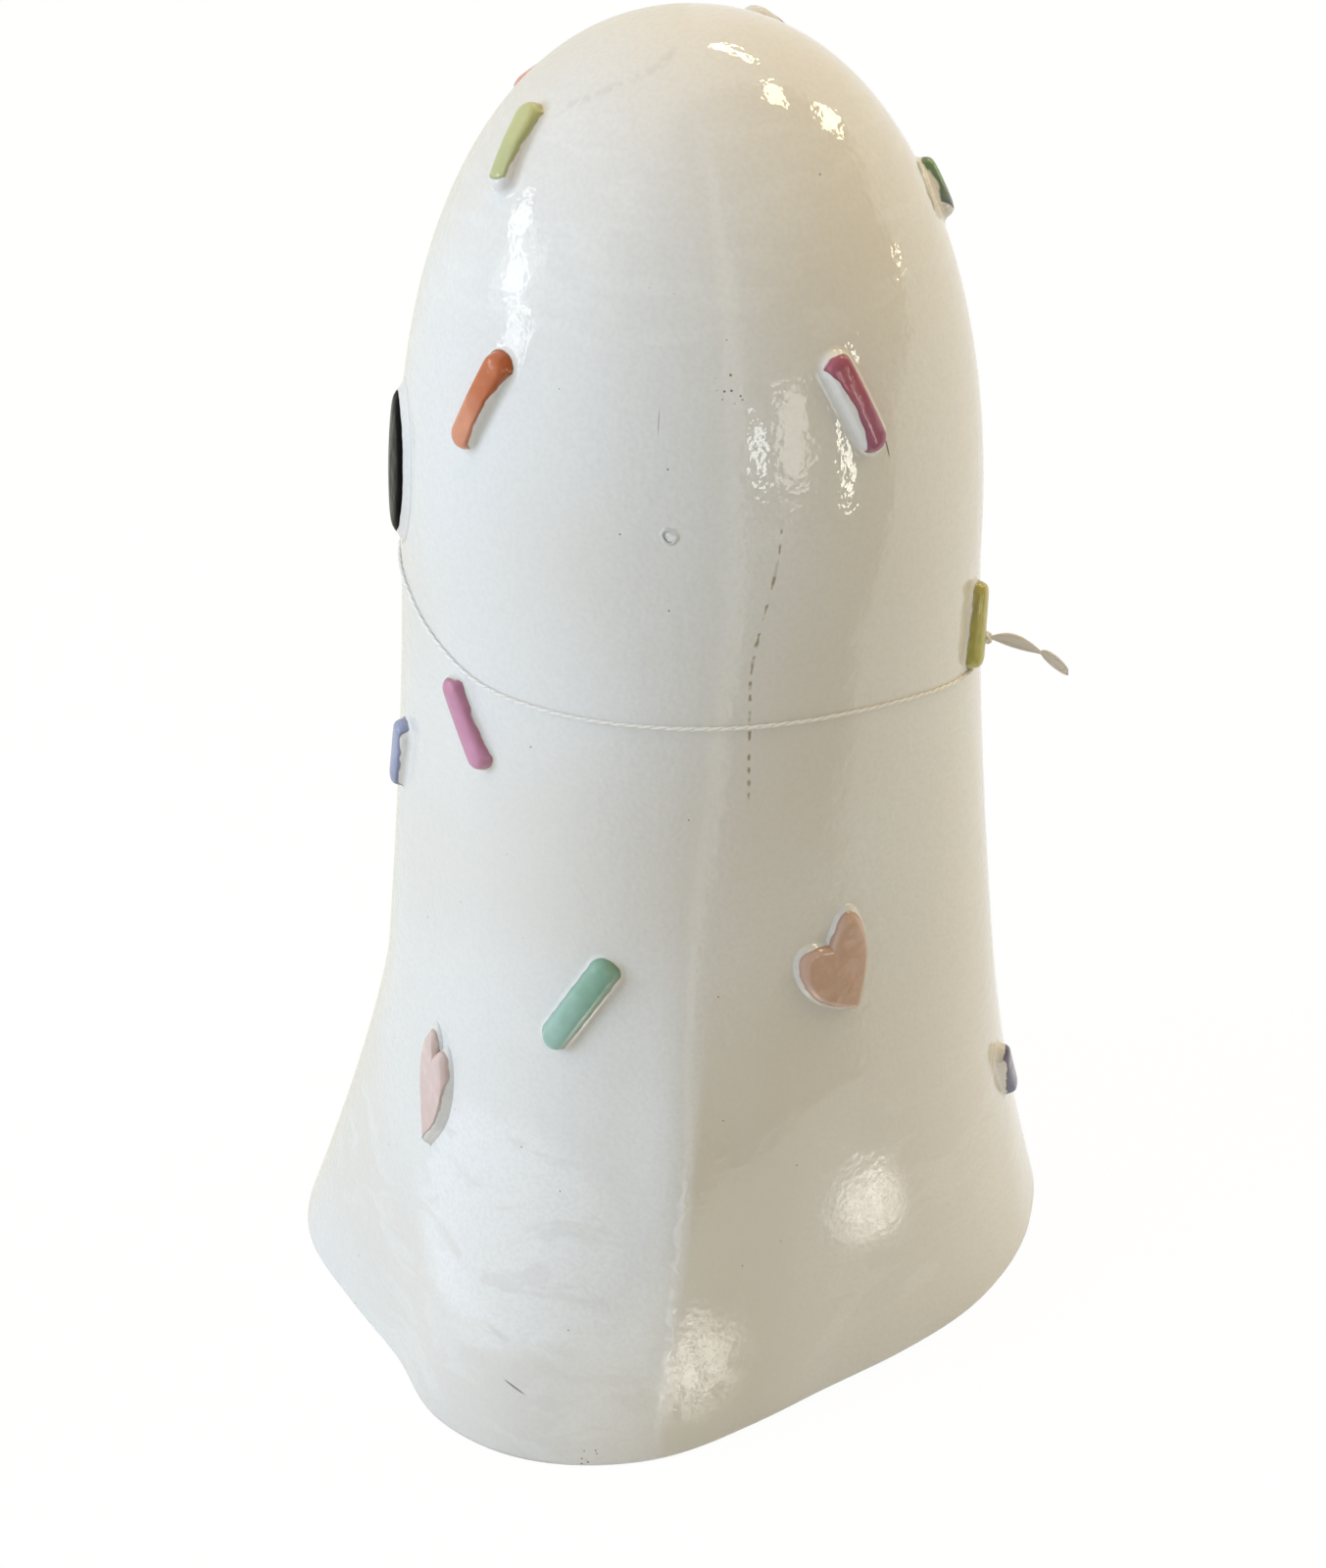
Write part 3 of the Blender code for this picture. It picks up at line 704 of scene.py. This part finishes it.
# %% A sprinkle
def sprinkle(number, paint, bearing, height, turn, length):
    """A sprinkle's grid with its lift, its paint's edge and its colours. The lift is a steep
    wall, a bell in the share of the half width, under a rounded top, a part of an ellipse."""
    half = SPRINKLE_WIDTH / 2
    line, out = stadium(length)
    share = SPRINKLE_SHARES
    flat = line[None] + share[..., None] * half * out[None]
    top = np.sqrt(np.clip(1 - share**2, 0, 1))
    wall = bell(share, SPRINKLE_STEEPNESS) - bell(share[-1], SPRINKLE_STEEPNESS)
    lift = SPRINKLE_RELIEF * (WALL_SHARE * wall + (1 - WALL_SHARE) * top) - SINK
    lift = np.broadcast_to(lift, flat.shape[:2])
    flat, lift = closed_under(flat, lift)
    left, right, ends = BRUSHES.get(number, any_brush(number))
    along = flat[..., 1] / (length / 2)
    up = np.clip((along + 1) / 2, 0, 1)
    sides = np.maximum(
        flat[..., 0] - half * through_three(right, up), -flat[..., 0] - half * through_three(left, up)
    )
    short = np.where(flat[..., 1] > 0, ends[1], ends[0]) / 1000
    beyond = np.maximum(np.abs(flat[..., 1]) - (length / 2 - half - short), 0)
    edge = np.maximum(sides, np.hypot(flat[..., 0], beyond) - half * BRUSH_REACH)
    return patch_values(drop_on_skin(flat, lift, bearing, height, turn), paint, along, edge)


# %% A patch with its paint
def patch_values(points, paint, along, edge):
    """The grid with the values that its paint reads, the edge in millimetres."""
    shape = points.shape[:2]
    low, high = (np.broadcast_to((*colour, 1), (*shape, 4)) for colour in PAINTS[paint])
    return points, {"along": along, "paint_edge": edge * 1000, "paint_low": low, "paint_high": high}


# %% All the sprinkles
sprinkles = [sprinkle(number, *spot) for number, spot in enumerate(SPRINKLES, 1)]
painted("sprinkle", sprinkles, sprinkle_paint)

# %% [markdown]
# The hearts and the eyes have closed outlines given by an angle. Their rings are the outline
# drawn smaller towards the middle and a little larger outside.

# %% Hearts and eyes
# Height, steepness of the side, and how far the patch reaches, in outlines
HEART_SIDE, EYE_SIDE = (0.0024, 28, 1.12), (0.0018, 22, 1.16)
# Where the paint stops, in outlines
HEART_COVER, EYE_COVER = 1.02, 0.97
CUSHION_RINGS, OUTLINE_POINTS = 26, 160
# Bearing, height, turn, length, width, lean, depth of the notch, fullness, paint, bare right wall
HEARTS = (
    (135.5, 0.0931, -36, 0.0160, 0.0139, 0.28, 1.05, 1.75, "blush", 0.0),
    (52.0, 0.0605, 33, 0.0189, 0.0098, -0.60, 0.75, 2.40, "pale_blush", 0.24),
    (246, 0.168, 15, 0.0175, 0.0155, 0.0, 1.0, 2.2, "blush", 0.0),
    (318, 0.086, -20, 0.0175, 0.0155, 0.0, 1.0, 2.2, "blush", 0.0),
)
EYE_BEARING, EYE_HEIGHT, EYE_WIDTH, EYE_LENGTH = 25, 0.170, 0.017, 0.0245


def heart_outline(angle, length, width, lean, notch, fullness):
    """A soft heart about its own middle: a power of the sine across, four cosines up, and the
    points moved sideways by a share of their height where it leans."""
    across = width / 2 * np.sign(np.sin(angle)) * np.abs(np.sin(angle)) ** fullness
    up = 13 * np.cos(angle) - 4 * notch * np.cos(2 * angle) - 1.5 * np.cos(3 * angle)
    up = length * (up - 0.5 * np.cos(4 * angle) + 2.6) / 26.8
    return np.stack([across + lean * up, up], -1)


def eye_outline(angle):
    """An upright oval."""
    return np.stack([EYE_WIDTH / 2 * np.sin(angle), EYE_LENGTH / 2 * np.cos(angle)], -1)


def cushion(outline, relief_height, steepness, outer, spot, paint, cover, bare=0.0):
    """A patch whose rings are its outline scaled, with a bell's side and a slight crown. The
    paint stops at a share of the outline, and sooner on the right where that wall is bare."""
    share = patch_rings(outer, CUSHION_RINGS)[:, None]
    flat = share[..., None] * outline[None]
    crown = 0.90 + 0.10 * (1 - np.clip(share, 0, 1) ** 2)
    lift = relief_height * crown * (bell(share, steepness) - bell(outer, steepness)) - SINK
    lift = np.broadcast_to(lift, flat.shape[:2])
    flat, lift = closed_under(flat, lift)
    reach = np.linalg.norm(outline, axis=-1)[None]
    share = np.concatenate([share, share[-1:] * INSET_SHARE, share[:1]])
    rightward = np.clip(flat[..., 0] / np.abs(outline[..., 0]).max(), 0, 1)
    edge = (share - cover + bare * rightward) * reach
    along = flat[..., 1] / np.abs(outline[..., 1]).max()
    return patch_values(drop_on_skin(flat, lift, *spot), paint, along, edge)


# %% All the hearts and eyes
turns = np.linspace(0, 2 * np.pi, OUTLINE_POINTS + 1)[:-1]
hearts = []
for bearing, height, turn, length, width, lean, notch, fullness, paint, bare in HEARTS:
    outline = heart_outline(turns, length, width, lean, notch, fullness)
    spot = (bearing, height, turn)
    hearts.append(cushion(outline, *HEART_SIDE, spot, paint, HEART_COVER, bare))
painted("heart", hearts, heart_paint)
eyes = []
for side in (1, -1):
    spot = (side * EYE_BEARING, EYE_HEIGHT, 0)
    eyes.append(cushion(eye_outline(turns), *EYE_SIDE, spot, "eye_black", EYE_COVER))
painted("eye", eyes, eye_paint)

# %% [markdown]
# The string is a thread of two plies twisted together, tied tight round the body. A round
# tube would look like wire, so its cross-section is a peanut that turns as it goes along.

# %% String finish
thread_finish, place, shader = new_finish("white_thread", Specular_IOR_Level=0.3)
fibres = place.noise(2600, 3.0, 0.7)
ply = place.attribute("ply")
THREAD_DULL, THREAD_BRIGHT = (0.80, 0.79, 0.75, 1), (0.93, 0.92, 0.89, 1)
THREAD_GROOVE_SHADE = (0.24, 0.21, 0.17, 1)
thread_colour = fibres.fade(0.2, 0.7).tint(THREAD_DULL, THREAD_BRIGHT)
# Painted shade in the groove between the two plies
thread_colour = (ply.fade(0.34, 0.06) * 0.85).tint(thread_colour, THREAD_GROOVE_SHADE)
connect(shader, Base_Color=thread_colour, Roughness=fibres * 0.2 + 0.5, Normal=relief(fibres * 0.04))
print("nodes in the thread:", len(thread_finish.node_tree.nodes))

# %% The string round the body
THREAD, PITCH = 0.0007, 0.0021
THREAD_SIDES, LOOP_STEPS = 14, 1300
# The middle of the thread is this share of its width above the skin
THREAD_SEAT = 0.36
TIE = np.array([
    (0, 0.1515), (30, 0.1505), (43, 0.1475), (60, 0.1444), (74, 0.1439), (100, 0.1437),
    (132, 0.1421), (150, 0.1402), (168, 0.1371), (180, 0.1352), (194, 0.1350), (225, 0.1390),
    (265, 0.1440), (315, 0.1500),
])


def twisted_tube(path, out, width, twist):
    """A tube along a path whose radius at each angle follows a peanut that the twist turns:
    a fixed share and the size of a cosine. The cosine comes too: it is 0 in the groove
    between the plies and 1 on their backs."""
    ahead = np.roll(path, -1, 0) - np.roll(path, 1, 0)
    ahead = ahead / np.linalg.norm(ahead, axis=1, keepdims=True)
    side = np.cross(ahead, out)
    angle = np.arange(THREAD_SIDES) * 2 * np.pi / THREAD_SIDES
    ply = np.abs(np.cos(angle[None] - twist[:, None]))
    radius = width / 2 * (0.66 + 0.34 * ply)
    cos, sin = np.cos(angle)[None, :, None], np.sin(angle)[None, :, None]
    return path[:, None] + radius[..., None] * (cos * side[:, None] + sin * out[:, None]), ply


bearing = np.arange(LOOP_STEPS) * 360 / LOOP_STEPS
height = ring_value(TIE, bearing)
_, _, _, out = skin_frame(bearing, height)
path = at_bearing(body_radius(height, bearing) + THREAD_SEAT * THREAD, bearing, height)
steps = np.linalg.norm(np.roll(path, -1, 0) - path, axis=1)
length = steps.sum()
twist = np.cumsum(steps) * np.pi * round(length / PITCH) / length
thread, ply = twisted_tube(path, out, THREAD, twist)
string = grid_piece("string_loop", thread, thread_finish, ring=True, ply=ply)
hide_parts("tie_string")
print("string round the body in mm:", round(1000 * length))

# %% [markdown]
# The knot is three turns of the same thread pulled into a lump. A curve of sines is enough for
# it, because only its outline shows. The loose end is pressed flat into a film that lets some
# light through, pinched once on its way out.

# %% The knot
KNOT_BEARING, KNOT_WIDTH = 191, 0.0020
KNOT_TWIST, KNOT_STEPS = 12, 240

knot_height = ring_value(TIE, np.array(KNOT_BEARING))
knot_point, knot_right, knot_up, knot_out = skin_frame(np.array(KNOT_BEARING), knot_height)
knot_middle = knot_point + knot_out * KNOT_WIDTH / 2
turn = np.linspace(0, 2 * np.pi, KNOT_STEPS + 1)[:-1]
coil = np.outer(np.sin(turn) * 0.9 + 0.25 * np.sin(5 * turn), knot_right)
coil += np.outer(np.cos(3 * turn) * 0.62, knot_up) + np.outer(np.sin(3 * turn) * 0.62, knot_out)
coil = knot_middle + coil * KNOT_WIDTH / 2
coil_out = coil - knot_middle
coil_out /= np.linalg.norm(coil_out, axis=1, keepdims=True)
thread, ply = twisted_tube(coil, coil_out, THREAD, turn * KNOT_TWIST)
knot = grid_piece("string_knot", thread, thread_finish, ring=True, ply=ply)

# %% The loose end's film
FILM_MIDDLE, FILM_RIM = (0.70, 0.65, 0.57, 1), (0.92, 0.90, 0.86, 1)
film_finish, place, shader = new_finish("string_film", Specular_IOR_Level=0.5)
ribs = place.stretched(0.3, 0.3, 1.0).noise(1500, 2.0)
film = place.attribute("rim")
connect(
    shader,
    Base_Color=film.fade(0.6, 0.95).tint(FILM_MIDDLE, FILM_RIM),
    Roughness=ribs * 0.2 + 0.22,
    Alpha=film.fade(0.4, 0.9) * 0.25 + ribs * 0.15 + 0.60,
    Normal=relief(ribs * 0.08),
)

# %% The loose end
TAIL_WIDTH, TAIL_THICKNESS, TAIL_REACH, TAIL_DROP, TAIL_LEAN = 0.0024, 0.0004, 0.0138, 0.0070, 0.3
TAIL_PINCH, TAIL_TIP, TAIL_TIP_HALF, TAIL_CURL = 0.72, 0.84, 0.18, 0.18
TAIL_ROWS, TAIL_SIDES = 60, 28

along = np.linspace(0, 1, TAIL_ROWS + 1)[:, None]
leaf = np.sin(np.pi * np.clip(along / TAIL_PINCH, 0, 1))
tip = np.sqrt(np.clip(1 - ((along - TAIL_TIP) / TAIL_TIP_HALF) ** 2, 0, 1))
width = np.maximum(THREAD * 0.8, TAIL_WIDTH * np.maximum(leaf, tip))
angle = np.arange(TAIL_SIDES)[None] * 2 * np.pi / TAIL_SIDES
spread = np.cos(angle) * width / 2
thick = np.sin(angle) * TAIL_THICKNESS / 2 * (1 + 0.5 * np.cos(angle) ** 4)
thick = thick * np.clip(np.minimum(along * 20, (1 - along) * 20), 0.02, 1)
curl = TAIL_CURL * (spread / TAIL_WIDTH) ** 2 * TAIL_WIDTH * np.sin(along * 5)
gone = along[..., None]
middle = knot_middle + gone * TAIL_REACH * knot_out - gone**2 * TAIL_DROP * knot_up
broad = knot_up + TAIL_LEAN * knot_right
normal = np.cross(broad, knot_out)
tail_points = middle + spread[..., None] * broad + (thick + curl)[..., None] * normal
ends = np.repeat(tail_points.mean(1, keepdims=True), TAIL_SIDES, 1)
tail_points = np.concatenate([ends[:1], tail_points, ends[-1:]])
rim = np.abs(np.cos(angle)) * np.ones_like(width)
rim = np.concatenate([rim[:1], rim, rim[-1:]])
tail = grid_piece("string_tail", tail_points, film_finish, rim=rim)

# %% [markdown]
# The camera looks down on the ghost's left side from a little behind it. Its place was worked
# out from the outline in the photo.

# %% Camera
CAMERA_AT, CAMERA_BEARING, CAMERA_PITCH = (0.4042, 0.1145, 0.3638), 105.0, 31.914
FOCAL_PIXELS, PHOTO_WIDTH, PHOTO_HEIGHT, MIDDLE_COLUMN = 2850, 1353, 1600, 705
SENSOR = 36

turned, tipped = math.radians(CAMERA_BEARING), math.radians(CAMERA_PITCH)
right = Vector((math.cos(turned), math.sin(turned), 0))
away = Vector((-math.sin(turned), math.cos(turned), 0))
ahead = away * math.cos(tipped) - Vector((0, 0, math.sin(tipped)))
camera = bpy.data.objects.new("camera", bpy.data.cameras.new("camera"))
facing = Matrix((right, right.cross(ahead), -ahead)).transposed().to_4x4()
camera.matrix_world = Matrix.Translation(CAMERA_AT) @ facing
camera.data.sensor_width = SENSOR
camera.data.lens = SENSOR * FOCAL_PIXELS / PHOTO_HEIGHT
camera.data.shift_x = (PHOTO_WIDTH / 2 - MIDDLE_COLUMN) / PHOTO_HEIGHT
camera.data.clip_start = 0.01
bpy.context.scene.collection.objects.link(camera)
bpy.context.scene.camera = camera
print("lens in mm:", round(camera.data.lens, 1), "shift:", round(camera.data.shift_x, 4))

# %% [markdown]
# A gloss finish is only as good as what it mirrors. The real ghost stands on a white table in
# a room: the table's near edge, the dim side of the room behind the camera and a cool window
# on the left all show in the enamel. So mirrored rays, and they alone, see that room, painted
# by direction: bright to the right and behind, dim in front, cool on the left. To the camera
# the floor and backdrop stay white, and they keep the ghost's soft shadow.

# %% The room that the enamel mirrors
TABLE_EDGE = -0.125
DIM_TURNS, STRIP_TURNS, COOL_TURNS = (154, 162), (161, 166), (188, 238)
ROOM_WHITE = (0.95, 0.95, 0.92, 1)
ROOM_TAN = (0.08, 0.05, 0.01, 1)
ROOM_FRONT = (0.03, 0.05, 0.12, 1)
ROOM_COOL = (0.85, 0.84, 0.74, 1)
AMBIENT = (0.280, 0.270, 0.208, 1)
GLINT = (7.0, 6.8, 6.3, 1)
GLINTS, GLINT_REACH = ((0.022, -0.081), (0.088, -0.061)), 0.013


def turn_of(across, depth):
    """Degrees from straight behind the ghost, growing through the right, 0 to 360. Across
    grows to the camera's right and depth away from the camera."""
    turn = across.math("ARCTAN2", across, depth) * (180 / math.pi)
    return turn.math("FLOORED_MODULO", turn, 360.0)


def room_colour(turn, bright_right):
    """The room's colour for a turn, with a mask for what lies to the right of the dim side."""
    colour = turn.fade(*DIM_TURNS).tint(ROOM_TAN, ROOM_FRONT)
    begin, end = STRIP_TURNS
    strip = turn.fade(begin - 2, begin) * turn.fade(end + 2, end)
    colour = strip.tint(colour, ROOM_WHITE)
    colour = (bright_right * turn.fade(200, 190)).tint(colour, ROOM_WHITE)
    return turn.fade(*COOL_TURNS).tint(colour, ROOM_COOL)


# %% Finish of the floor and backdrop
SHEET_PALE, SHEET_SEEN = (0.80, 0.79, 0.77, 1), (1.03, 1.03, 1.03, 1)
SEEN_GLOW = 0.93

sheet_finish, place, shader = new_finish("pale_sheet", Roughness=1.0, Specular_IOR_Level=0.0)
shader.inputs["Base Color"].default_value = SHEET_PALE
across = place.vector("DOT_PRODUCT", place, tuple(right), output=1)
depth = place.vector("DOT_PRODUCT", place, tuple(away), output=1)
seen = place.node("ShaderNodeLightPath", output=0)
mirrored = seen.other("Is Glossy Ray")
flat_place = place.node("ShaderNodeCombineXYZ", None, {0: across, 1: depth})
near_table = depth.fade(TABLE_EDGE - 0.004, TABLE_EDGE + 0.004)
colour = room_colour(turn_of(across, depth), near_table)
ripple = place.noise(330, 2.0, 0.7, Distortion=1.0).fade(0.36, 0.56)
for spot_across, spot_depth in GLINTS:
    far = place.vector("DISTANCE", flat_place, (spot_across, spot_depth, 0), output=1)
    colour = (far.fade(GLINT_REACH * 1.6, GLINT_REACH * 0.4) * ripple).tint(colour, GLINT)
colour = seen.tint(colour, SHEET_SEEN)
glow = place.node("ShaderNodeEmission", None, {"Color": colour, "Strength": 1.0})
base = Wire(place.tree, shader.outputs[0])
share = seen * SEEN_GLOW + mirrored
surface = place.node("ShaderNodeMixShader", None, {0: share, 1: base, 2: glow})
end = sheet_finish.node_tree.nodes["Material Output"]
sheet_finish.node_tree.links.new(surface.socket, end.inputs["Surface"])

# %% Floor and backdrop in one sweep
SHEET_NEAR, SHEET_FAR, SHEET_HALF, BEND_RUN, BEND_RISE = -2.0, 2.0, 3.0, 1.2, 1.92
sweep = np.linspace(0, 1, 41)[:, None]
flat_run, bend = np.clip(sweep / 0.6, 0, 1), np.clip((sweep - 0.6) / 0.4, 0, 1) * np.pi / 2
run = SHEET_NEAR + (SHEET_FAR - SHEET_NEAR) * flat_run + BEND_RUN * np.sin(bend)
lifted = BEND_RISE * (1 - np.cos(bend))
wide = np.linspace(-SHEET_HALF, SHEET_HALF, 9)[None]
spots = (wide * right.x + run * away.x, wide * right.y + run * away.y, lifted)
spots = np.stack(np.broadcast_arrays(*spots), -1)
index = np.arange(spots.shape[0] * spots.shape[1]).reshape(spots.shape[:2])
mesh = bpy.data.meshes.new("pale_sheet")
mesh.from_pydata(spots.reshape(-1, 3), [], grid_faces(index))
mesh.materials.append(sheet_finish)
mesh.shade_smooth()
backdrop = bpy.data.objects.new("pale_sheet", mesh)
bpy.context.scene.collection.objects.link(backdrop)
print("pale sheet:", len(mesh.polygons), "faces")

# %% The rest of the room
world = bpy.data.worlds.new("room")
bpy.context.scene.world = world
world.use_nodes = True
direction = Wire(world.node_tree).node("ShaderNodeTexCoord", output=0)
across = direction.vector("DOT_PRODUCT", direction, tuple(right), output=1)
depth = direction.vector("DOT_PRODUCT", direction, tuple(away), output=1)
seen = direction.node("ShaderNodeLightPath", output=0)
mirrored = seen.other("Is Glossy Ray")
high = direction.part("Z")
turn = turn_of(across, depth)
# The dim side's right edge in degrees, and how far it moves left above the floor and high up
EDGE_TURN, EDGE_LOW, EDGE_HIGH = 97, 22, 20
edge = EDGE_TURN - high.fade(-0.16, 0.06) * EDGE_LOW - high.fade(0.30, 0.50) * EDGE_HIGH
room = mirrored.tint(AMBIENT, room_colour(turn, (turn - edge).fade(0.9, -0.9)))
room = seen.tint(room, (1, 1, 1, 1))
background = world.node_tree.nodes["Background"]
world.node_tree.links.new(room.socket, background.inputs["Color"])
print("nodes in the room:", len(world.node_tree.nodes))

# %% [markdown]
# Two kinds of lamps. The soft ones light the ghost but aren't mirrored, since the room above
# already stands for them in the gloss. The small ones are the windows and bulbs of the real
# room: they are only mirrored. Each is placed by a direction: degrees round from straight behind
# the ghost towards the right, and degrees above the level.

# %% Lamps
TARGET = Vector((AXIS_X, AXIS_Y, 0.13))


def lamp(name, around_degrees, up_degrees, distance, wide, tall, watts, colour, mirrored=False):
    """A rectangular lamp that faces the ghost from a direction, and is mirrored or lights it."""
    a, e = math.radians(around_degrees), math.radians(up_degrees)
    direction = (away * math.cos(a) + right * math.sin(a)) * math.cos(e) + Vector((0, 0, math.sin(e)))
    data = bpy.data.lights.new(name, "AREA")
    data.shape, data.size, data.size_y = "RECTANGLE", wide, tall
    data.energy, data.color = watts, colour
    made = bpy.data.objects.new(name, data)
    made.visible_glossy, made.visible_diffuse = mirrored, not mirrored
    turned = direction.to_track_quat("Z", "Y").to_matrix().to_4x4()
    made.matrix_world = Matrix.Translation(TARGET + direction * distance) @ turned
    bpy.context.scene.collection.objects.link(made)


def glare(name, around_degrees, up_degrees, distance, wide, tall, brightness, colour):
    """A small lamp that is only mirrored, given by how bright it looks."""
    watts = brightness * math.pi * wide * tall
    lamp(name, around_degrees, up_degrees, distance, wide, tall, watts, colour, mirrored=True)


NEAR, FAR = 0.7, 1.5
# Name, degrees round, degrees up, width, height, watts and colour
for name, around, up, wide, tall, watts, colour in (
    ("window_left", -110, 14, 0.9, 0.75, 13.2, (0.62, 0.75, 1.0)),
    ("window_high", -110, 45, 0.9, 0.75, 5.2, (0.87, 0.98, 1.0)),
    ("ceiling", 0, 85, 0.9, 0.9, 4.7, (1.0, 0.50, 0.10)),
    ("wall_right", 72, 38, 1.3, 0.9, 8.8, (1.0, 0.87, 0.64)),
    ("wall_front", 110, 40, 1.2, 0.8, 1.7, (1.0, 0.80, 0.49)),
    ("wall_back", -30, 35, 1.2, 0.9, 0.9, (1.0, 0.90, 0.70)),
    ("wall_near", 165, 30, 1.2, 0.9, 1.2, (0.35, 0.55, 1.0)),
    ("wall_far", 0, 8, 1.1, 0.8, 3.0, (0.70, 0.83, 1.0)),
):
    lamp(name, around, up, FAR, wide, tall, watts, colour)

BULB, DOOR, WINDOW = (1.0, 0.93, 0.58), (1.0, 0.98, 0.88), (1.0, 0.98, 0.85)
CORE = (0.97, 1.0, 0.98)
# Name, degrees round, degrees up, distance, width, height, brightness and colour
for mirrored_lamp in (
    ("bulb_far", 20, 53, FAR, 0.38, 0.11, 14, BULB),
    ("bulb_near", 62, 57, FAR, 0.26, 0.19, 14, BULB),
    ("bulb_low", 62, 36, FAR, 0.24, 0.20, 14, BULB),
    ("bulb_dot", 75, 10, FAR, 0.07, 0.055, 12, BULB),
    ("door", 142, 3, NEAR, 0.14, 0.17, 3.4, DOOR),
    ("door_foot", 150, -14, NEAR, 0.12, 0.10, 3.2, DOOR),
    ("door_strip", 155, 2, NEAR, 0.05, 0.10, 8.0, (0.92, 0.98, 1.0)),
    ("window_strip", 121, 0, NEAR, 0.038, 0.22, 12, WINDOW),
    ("window_pane", 113, 10, NEAR, 0.04, 0.035, 12, WINDOW),
    ("window_glow", -95, 17, FAR, 0.56, 0.46, 1.3, (0.95, 1.0, 1.0)),
    ("window_core", -86, 23, FAR, 0.27, 0.20, 3.4, CORE),
    ("window_core", -95, 16, FAR, 0.27, 0.20, 3.4, CORE),
    ("window_core", -104, 8, FAR, 0.27, 0.20, 3.4, CORE),
):
    glare(*mirrored_lamp)
print("lamps:", len(bpy.data.lights))
bpy.context.scene.view_settings.view_transform = "Standard"

# %% [markdown]
# The dressed figurine has to stay inside the solids' box.
